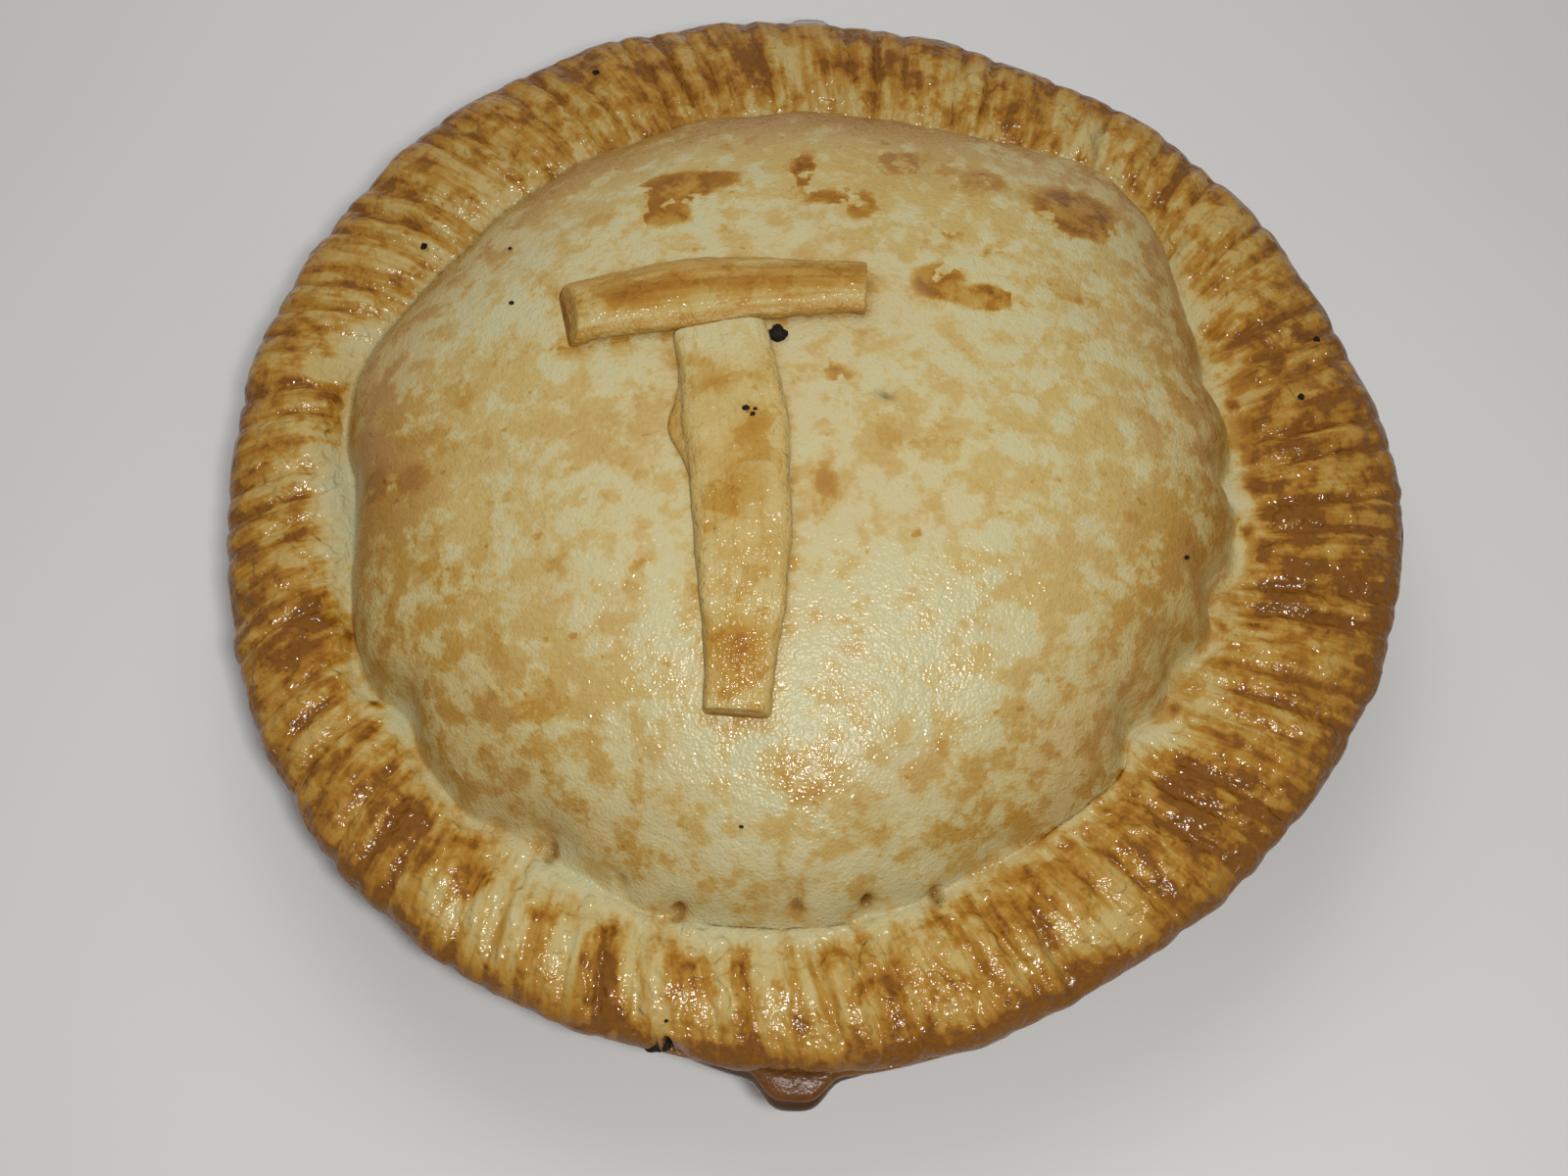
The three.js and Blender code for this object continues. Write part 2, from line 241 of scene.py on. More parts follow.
@dataclass(frozen=True)
class PlateShape:
    """The glass pie plate: a sloping wall, a flat flange and two small handles."""

    height: float = 38
    glass: float = 4.5
    base_radius: float = 88
    mouth_radius: float = 106
    flange_radius: float = 121.5
    heel_curve: float = 10
    mouth_curve: float = 4
    handles: Lobes = each(Lobe, (269, 12, 6.6), (269, 2.9, 4.8, 4), (89, 12, 6.6), (89, 2.9, 4.8, 4))
    curve_steps: int = 7
    wall_steps: int = 6

    def inner_wall(self, height: float, inset: float) -> float:
        """Radius of the inner wall at a height, moved in from the glass by an inset square to the wall."""
        rise = self.height - self.glass
        run = self.mouth_radius - self.base_radius
        slope = math.atan2(rise, run)
        return self.base_radius + run * (height - self.glass) / rise - inset / math.sin(slope)

    def _bend(self, start: Span, middle: Span, end: Span) -> Array:
        """Points of a quadratic curve, as rows of radius and height."""
        share = np.linspace(0, 1, self.curve_steps)[:, None]
        first, second, third = (np.array(point) for point in (start, middle, end))
        return (1 - share) ** 2 * first + 2 * share * (1 - share) * second + share**2 * third

    def _profile(self, first: Sequence[Span], second: Sequence[Span]) -> Array:
        """Two bends, each of three points, with a straight wall between them."""
        wall = np.linspace(first[2], second[0], self.wall_steps)[1:-1]
        return np.vstack([self._bend(*first), wall, self._bend(*second)])

    def hollow(self, inset: float) -> Array:
        """Profile of the hollow, from the mouth to the edge of its flat floor.

        Args:
            inset: Distance from the glass into the hollow.

        Returns:
            Rows of radius and height.
        """
        top = self.height + inset
        floor = self.glass + inset
        mouth = self.inner_wall(top, inset)
        below_mouth = (self.inner_wall(top - self.mouth_curve, inset), top - self.mouth_curve)
        above_heel = (self.inner_wall(floor + self.heel_curve, inset), floor + self.heel_curve)
        heel = self.inner_wall(floor, inset)
        lip = ((mouth + self.mouth_curve, top), (mouth, top), below_mouth)
        return self._profile(lip, (above_heel, (heel, floor), (heel - self.heel_curve, floor)))

    def outside(self) -> Array:
        """Profile of the outside, from the edge of the flat base to the root of the flange."""
        under = self.height - self.glass
        foot = self.inner_wall(0, -self.glass)
        root = self.inner_wall(under, -self.glass)
        above_foot = (self.inner_wall(self.heel_curve, -self.glass), self.heel_curve)
        below_root = (self.inner_wall(under - self.mouth_curve, -self.glass), under - self.mouth_curve)
        heel = ((foot - self.heel_curve, 0), (foot, 0), above_foot)
        return self._profile(heel, (below_root, (root, under), (root + self.mouth_curve, under)))

    def flange(self, radians: Array) -> Array:
        """Radius of the flange's edge, handles included."""
        return self.flange_radius + lobes(radians, self.handles)


@dataclass(frozen=True)
class PieShape:
    """The pie's form above the plate: dome, crease, crimped rim and the edge of the bottom crust."""

    crust_radius: float = 125.8
    crust_waves: tuple[Wave, ...] = each(Wave, (2, 0.8, -89), (3, 1.85, 7), (5, 0.58, -52), (6, 0.57, -102))
    crease_radius: float = 94.75
    crease_waves: tuple[Wave, ...] = each(Wave, (1, 2.9, -153), (2, 2.7, 113))
    dome_lobes: Lobes = each(
        Lobe, (43, 16, 9.5), (88, 40, -5.5), (168, 13, 5), (209, 9, 2), (268, 14, 2.5), (345, 9, 2)
    )
    lobe_sharpness: float = 3
    crease_height: float = 43.5
    dome_rise: float = 38
    dome_flatness: float = 2.8
    dome_shoulder: float = 0.52
    mounds: tuple[Swell, ...] = each(
        Swell,
        (-42, -40, 1.6, 24), (44, -30, 1.3, 26), (52, 40, 1.8, 18), (-50, 32, 1.2, 22), (6, -82, 1.5, 15),
    )
    crown_height: float = 48.5
    edge_height: float = 42
    crown_place: float = 0.48
    crimp_count: int = 72
    crimp_jitter: float = 0.4
    crimp_depth: Span = (0.35, 1.2)
    crimp_half_width: float = 1.3
    crimp_lean: float = 3.5
    pad_rise: Span = (0.2, 0.9)
    pad_spread: float = 0.25
    crimp_start: float = 0.06
    crimp_full: float = 0.34
    crimp_edge_fade: float = 0.85
    notch_height: float = 40.4
    notch_inset: float = 1.2
    layer_top: float = 39.7
    layer_inset: float = 0.6
    layer_slant: float = 0.5
    layer_laps: Lobes = each(Lobe, (269, 2.9, 4.9, 4), (273, 9, 1), (354, 7, 2.2))
    groove_rise: Span = (0.1, 0.4)
    groove_fall: Span = (0.92, 1.1)
    streak_radius: float = 115.0
    streak_length: float = 6.0

    def crust(self, radians: Array) -> Array:
        """Radius of the lid's outer edge."""
        return self.crust_radius + waves(radians, self.crust_waves)

    def crease_base(self, radians: Array) -> Array:
        """Radius of the crease without its lobes."""
        return self.crease_radius + waves(radians, self.crease_waves)

    def crease(self, radians: Array) -> Array:
        """Radius of the crease where the dome meets the rim."""
        return self.crease_base(radians) + lobes(radians, self.dome_lobes)

    def layer(self, radians: Array) -> Array:
        """Radius of the bottom crust's edge, which shows under the lid's."""
        return self.crust(radians) - self.layer_inset + lobes(radians, self.layer_laps)

    def dome_height(self, x: Array, y: Array) -> Array:
        """Height of the dome over a place in plan."""
        radians = np.arctan2(y, x)
        radius = np.hypot(x, y)
        base = self.crease_base(radians)
        swell = lobes(radians, self.dome_lobes) * np.minimum(1, radius / base) ** self.lobe_sharpness
        cap = np.maximum(0, 1 - (radius / (base + swell)) ** self.dome_flatness) ** self.dome_shoulder
        return self.crease_height + self.dome_rise * cap + swells(x, y, self.mounds) * np.sqrt(cap)

    def crimp_relief(self, phase: Array) -> Array:
        """Relief of the fork marks and of the puffed pads between them, at phases in radians."""
        index = np.arange(self.crimp_count)
        marks = (index + self.crimp_jitter * (2 * spread(index, 0) - 1)) / self.crimp_count * TURN
        depth = lerp(*self.crimp_depth, spread(index, 0.31))
        pad = lerp(*self.pad_rise, spread(index, 0.67))
        phase = phase % TURN
        this = (np.searchsorted(marks, phase, side="right") - 1) % self.crimp_count
        following = (this + 1) % self.crimp_count
        pitch = (marks[following] - marks[this]) % TURN
        share = ((phase - marks[this]) % TURN) / pitch
        length = pitch * self.crust_radius
        before = depth[this] * hump(share * length, self.crimp_half_width)
        after = depth[following] * hump((1 - share) * length, self.crimp_half_width)
        return pad[this] * np.sin(np.pi * share) - before - after

    def leaning(self, phase: Array, place: float) -> Array:
        """Angle in radians of a fork mark at a place from the crease (0) to the edge (1)."""
        return phase + math.radians(self.crimp_lean) * (place - self.crown_place)

    def rim_points(self, phase: Array, place: float) -> Array:
        """Points of the rim's upper face at a place from the crease (0) to the edge (1)."""
        radians = self.leaning(phase, place)
        relief = self.crimp_relief(phase)
        edge = self.crust(radians) + self.pad_spread * relief
        falling = max(0, (place - self.crown_place) / (1 - self.crown_place))
        if place < self.crown_place:
            foot = self.crease_height
            roll = math.sin(math.pi / 2 * place / self.crown_place)
        else:
            foot = self.edge_height
            roll = math.sqrt(1 - falling**2)
        strength = smoothstep(place, self.crimp_start, self.crimp_full)
        strength *= 1 - self.crimp_edge_fade * falling**4
        height = lerp(foot, self.crown_height, roll) + relief * strength
        return polar(radians, lerp(self.crease(radians), edge, place), height)

    def from_crease(self, place: Array) -> Array:
        """Rough distance in plan from the crease, in millimetres."""
        rim_width = self.crust_radius - self.crease_radius
        return np.where(place < 0, place * self.crease_radius, place * rim_width)

    def streaks(self, phase: Array, place: Array) -> Array:
        """Coordinates that run slowly along the fork marks and fast across them."""
        return polar(phase, self.streak_radius, self.streak_length * place)

    def crimp_groove(self, phase: Array, place: Array) -> Array:
        """Share of a fork mark's depth, from 0 to 1."""
        strength = window(place, self.groove_rise, self.groove_fall)
        return np.clip(-self.crimp_relief(phase), 0, 1) * strength


class RingSkin:
    """A closed skin of rings round the Z axis, from one point on the axis to another.

    Each ring has as many points as the one before, or twice or half as many. Every vertex keeps its phase and
    its place along the profile.
    """

    def __init__(self) -> None:
        """Starts without any rings."""
        self._points: list[Array] = []
        self._phases: list[Array] = []
        self._places: list[Array] = []
        self._faces: list[list[int]] = []
        self._size = 0
        self._last: Array | None = None

    @staticmethod
    def phases(count: int) -> Array:
        """Evenly spaced phases of a ring, in radians."""
        return np.arange(count) / count * TURN

    def add(self, points: Array, place: float) -> None:
        """Adds the next ring.

        Args:
            points: The ring's points in millimetres, anticlockwise, or one point on the axis.
            place: The ring's place along the profile.
        """
        points = np.atleast_2d(points)
        count = len(points)
        ring = self._size + np.arange(count)
        if self._last is not None:
            self._join(self._last, ring)
        self._points.append(points)
        self._phases.append(self.phases(count))
        self._places.append(np.full(count, float(place)))
        self._size += count
        self._last = ring

    def _join(self, upper: Array, lower: Array) -> None:
        """Adds the faces between two neighbouring rings."""
        upper_next = np.roll(upper, -1)
        lower_next = np.roll(lower, -1)
        if len(upper) == len(lower):
            self._add_faces(lower, lower_next, upper_next, upper)
        elif len(upper) == 1:
            self._add_faces(lower, lower_next, np.full_like(lower, upper[0]))
        elif len(lower) == 1:
            self._add_faces(np.full_like(upper, lower[0]), upper_next, upper)
        elif len(lower) == 2 * len(upper):
            middle = lower[1::2]
            self._add_faces(lower[::2], middle, upper)
            self._add_faces(middle, upper_next, upper)
            self._add_faces(middle, lower_next[1::2], upper_next)
        else:
            middle = upper[1::2]
            self._add_faces(lower, middle, upper[::2])
            self._add_faces(lower, lower_next, middle)
            self._add_faces(lower_next, upper_next[1::2], middle)

    def _add_faces(self, *corners: Array) -> None:
        """Adds faces, given by the vertex numbers of each of their corners."""
        self._faces += np.stack(corners, 1).tolist()

    @property
    def points(self) -> Array:
        """All vertices, in millimetres."""
        return np.vstack(self._points)

    @property
    def phase(self) -> Array:
        """Phase of every vertex, in radians."""
        return np.concatenate(self._phases)

    @property
    def place(self) -> Array:
        """Place of every vertex along the profile."""
        return np.concatenate(self._places)

    def mesh(self, name: str) -> Mesh:
        """Mesh of the skin, in metres."""
        return new_mesh(name, self.points, self._faces)


def new_mesh(name: str, points: Array, faces: list[list[int]]) -> Mesh:
    """Smooth-shaded mesh.

    Args:
        name: The mesh's name.
        points: Vertices in millimetres.
        faces: Vertex numbers of each face.

    Returns:
        The mesh, in metres.
    """
    mesh = bpy.data.meshes.new(name)
    mesh.from_pydata((points * MM).tolist(), [], faces)
    mesh.polygons.foreach_set("use_smooth", [True] * len(mesh.polygons))
    mesh.update()
    return mesh


def vertex_normals(mesh: Mesh) -> Array:
    """Normals of a mesh's vertices, one row each."""
    values = np.zeros(len(mesh.vertices) * 3, np.float32)
    mesh.vertex_normals.foreach_get("vector", values)
    return values.reshape(-1, 3).astype(float)


def move_vertices(mesh: Mesh, points: Array) -> None:
    """Puts a mesh's vertices at new places, given in millimetres."""
    mesh.vertices.foreach_set("co", (points * MM).astype(np.float32).ravel())
    mesh.update()


def keep_layers(mesh: Mesh, layers: dict[Layer, Array]) -> None:
    """Keeps layers of a mesh, each of one number or one vector for every vertex."""
    for layer, values in layers.items():
        vector = values.ndim == 2
        attribute = mesh.attributes.new(layer.value, "FLOAT_VECTOR" if vector else "FLOAT", "POINT")
        attribute.data.foreach_set("vector" if vector else "value", values.astype(np.float32).ravel())


def add_piece(name: str, mesh: Mesh, material: Material, nodes: Sequence[str] = ()) -> Piece:
    """Adds a piece of the object, which rides on its one body.

    Args:
        name: The piece's name.
        mesh: Its mesh, in the object's frame.
        material: Its finish.
        nodes: Names of the CAD nodes that it stands for.

    Returns:
        The new object.
    """
    piece = bpy.data.objects.new(name, mesh)
    bpy.context.scene.collection.objects.link(piece)
    mesh.materials.append(material)
    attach(piece, "root")
    if nodes:
        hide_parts(*nodes)
    log.info("%s: %d vertices, %d faces", name, len(mesh.vertices), len(mesh.polygons))
    return piece


@dataclass(frozen=True)
class Speckle:
    """Settings of a noise texture; one over the scale is its lump size in metres."""

    scale: float
    detail: float = 0.0
    roughness: float = 0.5
    distortion: float = 0.0


class Graph:
    """Adds nodes to a node tree and links them."""

    MIX_COLOURS = (0, 6, 7)
    MIX_NUMBERS = (0, 2, 3)

    def __init__(self, tree: NodeTree) -> None:
        """Takes the tree that the nodes go in."""
        self.tree = tree

    def add(self, kind: str, inputs: dict | None = None, **settings: object) -> Node:
        """New node with the given properties, and with inputs fed by name or number."""
        node = self.tree.nodes.new(kind)
        for name, value in settings.items():
            setattr(node, name, value)
        self.feed(node, inputs or {})
        return node

    def feed(self, node: Node, inputs: dict) -> None:
        """Links other nodes' outputs to a node's inputs, or sets the inputs to constants."""
        for key, value in inputs.items():
            self.feed_socket(node.inputs[key], value)

    def feed_socket(self, socket: Socket, value: object) -> None:
        """Links another node's output to a socket, or sets the socket to a constant."""
        if isinstance(value, Socket):
            self.tree.links.new(value, socket)
        elif isinstance(value, tuple) and socket.type == "RGBA":
            socket.default_value = (*value, 1.0)
        else:
            socket.default_value = value

    def math(self, operation: str, first: object, second: object) -> Socket:
        """Result of a math node."""
        return self.add("ShaderNodeMath", {0: first, 1: second}, operation=operation).outputs[0]

    def times(self, first: object, second: object) -> Socket:
        """Product of two values."""
        return self.math("MULTIPLY", first, second)

    def larger(self, first: object, second: object) -> Socket:
        """The larger of two values."""
        return self.math("MAXIMUM", first, second)

    def total(self, *terms: object) -> Socket:
        """Sum of several values."""
        result = terms[0]
        for term in terms[1:]:
            result = self.math("ADD", result, term)
        return result

    def centred(self, value: Socket, amount: object) -> Socket:
        """A value from 0 to 1 turned to one round zero, times an amount."""
        return self.times(self.math("SUBTRACT", value, 0.5), amount)

    def noise(self, vector: object, speckle: Speckle) -> Socket:
        """Value of a noise texture."""
        inputs = {"Scale": speckle.scale, "Detail": speckle.detail, "Roughness": speckle.roughness}
        inputs |= {"Vector": vector, "Distortion": speckle.distortion}
        return self.add("ShaderNodeTexNoise", inputs).outputs[0]

    def remap(
        self, value: object, low: float, high: float, to_low: float = 0.0, to_high: object = 1.0
    ) -> Socket:
        """A value brought smoothly from one range to another, and kept inside it."""
        inputs = {"Value": value, "From Min": low, "From Max": high, "To Min": to_low, "To Max": to_high}
        return self.add("ShaderNodeMapRange", inputs, interpolation_type="SMOOTHSTEP").outputs["Result"]

    def mix(self, *values: object) -> Socket:
        """Blend of two colours, given after its factor."""
        inputs = dict(zip(self.MIX_COLOURS, values))
        return self.add("ShaderNodeMix", inputs, data_type="RGBA").outputs[2]

    def blend(self, *values: object) -> Socket:
        """Blend of two numbers, given after its factor."""
        inputs = dict(zip(self.MIX_NUMBERS, values))
        return self.add("ShaderNodeMix", inputs, data_type="FLOAT").outputs[0]

    def ramp(self, value: object, stops: Sequence[tuple[float, Colour]]) -> Socket:
        """Colour from a ramp of stops, each a place and a colour."""
        node = self.add("ShaderNodeValToRGB", {0: value})
        elements = node.color_ramp.elements
        while len(elements) < len(stops):
            elements.new(1.0)
        for element, (place, colour) in zip(elements, stops):
            element.position = place
            element.color = (*colour, 1.0)
        return node.outputs[0]

    def layer(self, layer: Layer) -> Socket:
        """A vertex layer, as a vector for the streaks and as a number for the rest."""
        node = self.add("ShaderNodeAttribute", attribute_name=layer.value)
        return node.outputs["Vector" if layer is Layer.STREAK else "Fac"]

    def coordinates(self) -> Socket:
        """Places in the object's frame, in metres."""
        return self.add("ShaderNodeTexCoord").outputs["Object"]

    def group(self, tree: NodeTree, **inputs: object) -> Node:
        """A node group in use, with its inputs fed by name."""
        return self.add("ShaderNodeGroup", inputs, node_tree=tree)

    def bump(self, height: object, distance: float) -> Socket:
        """Normal from a bump node; the distance is in millimetres."""
        inputs = {"Strength": 1.0, "Distance": distance * MM, "Height": height}
        return self.add("ShaderNodeBump", inputs).outputs["Normal"]


class SharedEffects:
    """Node groups that several finishes use."""

    FLOAT = "NodeSocketFloat"
    VECTOR = "NodeSocketVector"
    COLOUR = "NodeSocketColor"
    TONES = (
        (0.0, (0.53, 0.5, 0.29)),
        (0.2, (0.565, 0.473, 0.232)),
        (0.36, (0.53, 0.38, 0.13)),
        (0.5, (0.45, 0.25, 0.044)),
        (0.65, (0.375, 0.167, 0.016)),
        (0.8, (0.25, 0.096, 0.009)),
        (0.9, (0.15, 0.052, 0.007)),
        (1.0, (0.08, 0.026, 0.008)),
    )
    MOTTLE = Speckle(800, 2, 0.6)
    MOTTLE_CHANGE = 0.13
    RAGGED = Speckle(125, 3, 0.62)
    RAGGED_REACH = 1.55
    BARE_REACH = 0.48
    DENSE_REACH = 0.5
    PATCH_RANGES = {"Patch": (0.68, 0.77), "Soft": (0.62, 0.86), "Inner": (0.74, 0.98)}
    FINE_GRAIN = Speckle(1800)
    FINE_FADE = (0.2, 0.8, 0.4, 0.27)
    COARSE_GRAIN = Speckle(620, 1, 0.6)
    COARSE_HEIGHT = 0.6
    BUBBLES = Speckle(400)
    BUBBLE_RANGE = (0.46, 0.74)

    def __init__(self) -> None:
        """Makes the three groups."""
        self.tone = self._tone()
        self.wash = self._wash()
        self.grain = self._grain()

    def _open(self, name: str, inputs: dict[str, str], outputs: dict[str, str]) -> tuple[Graph, dict, dict]:
        """Starts a node group.

        Args:
            name: The group's name.
            inputs: Socket kinds of its inputs, by name.
            outputs: Socket kinds of its outputs, by name.

        Returns:
            The graph, the sockets that carry its inputs, and the sockets that take its outputs.
        """
        tree = bpy.data.node_groups.new(name, "ShaderNodeTree")
        for label, kind in inputs.items():
            tree.interface.new_socket(label, in_out="INPUT", socket_type=kind)
        for label, kind in outputs.items():
            tree.interface.new_socket(label, in_out="OUTPUT", socket_type=kind)
        graph = Graph(tree)
        return graph, graph.add("NodeGroupInput").outputs, graph.add("NodeGroupOutput").inputs

    def _tone(self) -> NodeTree:
        """Colour of pastry, from raw (0) over golden to burnt (1), with a fine mottle."""
        graph, given, result = self._open(
            "bake_tone", {"Bake": self.FLOAT, "Vector": self.VECTOR}, {"Color": self.COLOUR}
        )
        mottle = graph.noise(given["Vector"], self.MOTTLE)
        level = graph.total(given["Bake"], graph.centred(mottle, self.MOTTLE_CHANGE))
        graph.feed_socket(result["Color"], graph.ramp(level, self.TONES))
        return graph.tree

    def _wash(self) -> NodeTree:
        """Egg wash that browned in patches with crisp, ragged edges.

        The denser the wash, the more of the place the patches cover.
        """
        outputs = dict.fromkeys(self.PATCH_RANGES, self.FLOAT)
        graph, given, result = self._open("egg_wash", {"Density": self.FLOAT, "Vector": self.VECTOR}, outputs)
        ragged = graph.centred(graph.noise(given["Vector"], self.RAGGED), self.RAGGED_REACH)
        reach = graph.total(ragged, self.BARE_REACH, graph.times(given["Density"], self.DENSE_REACH))
        for name, limits in self.PATCH_RANGES.items():
            graph.feed_socket(result[name], graph.remap(reach, *limits))
        return graph.tree

    def _grain(self) -> NodeTree:
        """Height of the pastry's fine grain and blisters."""
        graph, given, result = self._open(
            "pastry_grain", {"Blisters": self.FLOAT, "Vector": self.VECTOR}, {"Height": self.FLOAT}
        )
        fine = graph.noise(given["Vector"], self.FINE_GRAIN)
        coarse = graph.noise(given["Vector"], self.COARSE_GRAIN)
        bubbles = graph.remap(graph.noise(given["Vector"], self.BUBBLES), *self.BUBBLE_RANGE)
        grain = graph.total(
            graph.times(fine, graph.remap(given["Blisters"], *self.FINE_FADE)),
            graph.times(coarse, self.COARSE_HEIGHT),
            graph.times(bubbles, given["Blisters"]),
        )
        graph.feed_socket(result["Height"], grain)
        return graph.tree


def start_material(name: str) -> tuple[Material, Graph, Node]:
    """New material.

    Args:
        name: The material's name.

    Returns:
        The material, its graph and its Principled shader.
    """
    material = bpy.data.materials.new(name)
    material.use_nodes = True
    shader = material.node_tree.nodes["Principled BSDF"]
    return material, Graph(material.node_tree), shader


@dataclass(frozen=True)
class CrustFinish:
    """Baked shortcrust with an egg wash: pale on the dome, golden and glossy on the rim."""

    broad: Speckle = Speckle(42, 2, 0.55)
    medium: Speckle = Speckle(105, 2, 0.55)
    lines: Speckle = Speckle(380, 2, 0.6)
    freckles: Speckle = Speckle(165, 4, 0.64)
    flecks: Speckle = Speckle(300, 2, 0.55)
    brush: Speckle = Speckle(720, 1, 0.6)
    golden_range: Span = (0.49, 0.69)
    fleck_range: Span = (0.68, 0.74)
    blush_range: Span = (0.47, 0.62)
    thick_range: Span = (0.4, 0.95)
    wet_range: Span = (0.6, 0.9)
    soft_on_rim: float = 0.6
    freckle_share: float = 0.3
    thin_change: float = 0.07
    thick_change_dome: float = 0.42
    thick_change_rim: float = 0.27
    broad_change: float = 0.22
    medium_change: float = 0.4
    line_change: float = 0.9
    rim_change: float = 0.02
    golden_change: float = 0.24
    fleck_change: float = 0.16
    groove_change: float = 0.32
    darkest: float = 0.84
    palest: float = -0.04
    blush: float = 0.14
    golden_gloss: float = 0.9
    rim_gloss: float = 0.85
    juicy_gloss: float = 0.2
    sheen_change: float = -0.2
    matt_roughness: float = 0.36
    glazed_roughness: float = 0.14
    juice_roughness: float = 0.12
    dome_blisters: float = 0.15
    rim_blisters: float = 0.8
    juice_grain: float = 0.12
    brush_height: float = 0.4
    grain_height: float = 0.45
    specular: float = 0.42
    rosy: Colour = (0.56, 0.4, 0.22)
    # Near black of the painted shade in holes, vent and chip, and of burnt pastry.
    burnt_and_shade_black: Colour = (0.03, 0.014, 0.007)

    def make(self, effects: SharedEffects) -> Material:
        """The finish as a material."""
        material, graph, shader = start_material("baked_crust")
        place = graph.coordinates()
        bake = graph.layer(Layer.BAKE)
        rim = graph.layer(Layer.RIM)
        juice = graph.layer(Layer.JUICE)
        streak = graph.layer(Layer.STREAK)
        density = graph.layer(Layer.WASH)
        wash = graph.group(effects.wash, Density=density, Vector=place).outputs
        patch = graph.blend(graph.times(rim, self.soft_on_rim), wash["Patch"], wash["Soft"])
        broad = graph.noise(place, self.broad)
        uneven = graph.centred(graph.noise(place, self.medium), self.medium_change)
        lines = graph.centred(graph.noise(streak, self.lines), self.line_change)
        freckle = graph.times(graph.layer(Layer.FRECKLE), self.freckle_share)
        golden = graph.remap(graph.total(graph.noise(place, self.freckles), freckle), *self.golden_range)
        flecks = graph.remap(graph.noise(place, self.flecks), *self.fleck_range)
        thickest = graph.blend(rim, self.thick_change_dome, self.thick_change_rim)
        thick = graph.remap(density, *self.thick_range, self.thin_change, thickest)
        mixed = graph.total(
            bake,
            graph.centred(broad, self.broad_change),
            graph.times(golden, self.golden_change),
            graph.times(flecks, self.fleck_change),
            graph.times(patch, graph.total(thick, graph.times(wash["Inner"], uneven))),
            graph.times(rim, graph.total(uneven, lines, self.rim_change)),
            graph.times(graph.layer(Layer.GROOVE), self.groove_change),
        )
        level = graph.larger(graph.total(bake, self.palest), graph.math("MINIMUM", mixed, self.darkest))
        tone = graph.group(effects.tone, Bake=level, Vector=place).outputs["Color"]
        blush = graph.times(graph.remap(broad, *self.blush_range), graph.blend(rim, self.blush, 0.0))
        blushed = graph.mix(blush, tone, self.rosy)
        washed = graph.larger(patch, graph.times(golden, self.golden_gloss))
        glazed = graph.larger(washed, graph.times(rim, self.rim_gloss))
        glaze = graph.times(glazed, graph.blend(juice, 1.0, self.juicy_gloss))
        sheen = graph.centred(broad, self.sheen_change)
        rough = graph.total(graph.blend(glaze, self.matt_roughness, self.glazed_roughness), sheen)
        wet = graph.remap(juice, *self.wet_range)
        blisters = graph.blend(rim, self.dome_blisters, self.rim_blisters)
        grain = graph.group(effects.grain, Blisters=blisters, Vector=place).outputs["Height"]
        brushed = graph.times(graph.noise(streak, self.brush), graph.times(rim, self.brush_height))
        height = graph.times(graph.total(grain, brushed), graph.blend(juice, 1.0, self.juice_grain))
        graph.feed(
            shader,
            {
                # Painted shade in the holes, vent and chip, and the chip's burnt edges, come in as near
                # black.
                "Base Color": graph.mix(graph.layer(Layer.BURN_AND_SHADE), blushed, self.burnt_and_shade_black),
                "Roughness": graph.blend(wet, rough, self.juice_roughness),
                "Normal": graph.bump(height, self.grain_height),
                "Specular IOR Level": self.specular,
            },
        )
        return material


@dataclass(frozen=True)
class StripFinish:
    """Rolled pastry with a brushed egg wash: brown and glossy on top, paler and dull on the cut sides."""

    medium: Speckle = Speckle(150, 2, 0.55)
    brush: Speckle = Speckle(480, 2, 0.6)
    medium_change: float = 0.3
    brush_change: float = 0.42
    patch_change: float = 0.11
    sheen_change: float = -0.2
    top_roughness: float = 0.17
    side_roughness: float = 0.45
    blisters: float = 0.3
    brush_height: float = 0.8
    grain_height: float = 0.62
    specular: float = 0.42

    def make(self, effects: SharedEffects) -> Material:
        """The finish as a material."""
        material, graph, shader = start_material("strip_pastry")
        place = graph.coordinates()
        medium = graph.noise(place, self.medium)
        brush = graph.noise(graph.layer(Layer.STREAK), self.brush)
        wash = graph.group(effects.wash, Density=graph.layer(Layer.WASH), Vector=place).outputs
        level = graph.total(
            graph.layer(Layer.BAKE),
            graph.centred(medium, self.medium_change),
            graph.centred(brush, graph.times(graph.layer(Layer.FRECKLE), self.brush_change)),
            graph.times(wash["Patch"], self.patch_change),
        )
        rough = graph.blend(graph.layer(Layer.RIM), self.top_roughness, self.side_roughness)
        grain = graph.group(effects.grain, Blisters=self.blisters, Vector=place).outputs["Height"]
        ridged = graph.total(grain, graph.times(brush, self.brush_height))
        graph.feed(
            shader,
            {
                "Base Color": graph.group(effects.tone, Bake=level, Vector=place).outputs["Color"],
                "Roughness": graph.total(rough, graph.centred(medium, self.sheen_change)),
                "Normal": graph.bump(ridged, self.grain_height),
                "Specular IOR Level": self.specular,
            },
        )
        return material


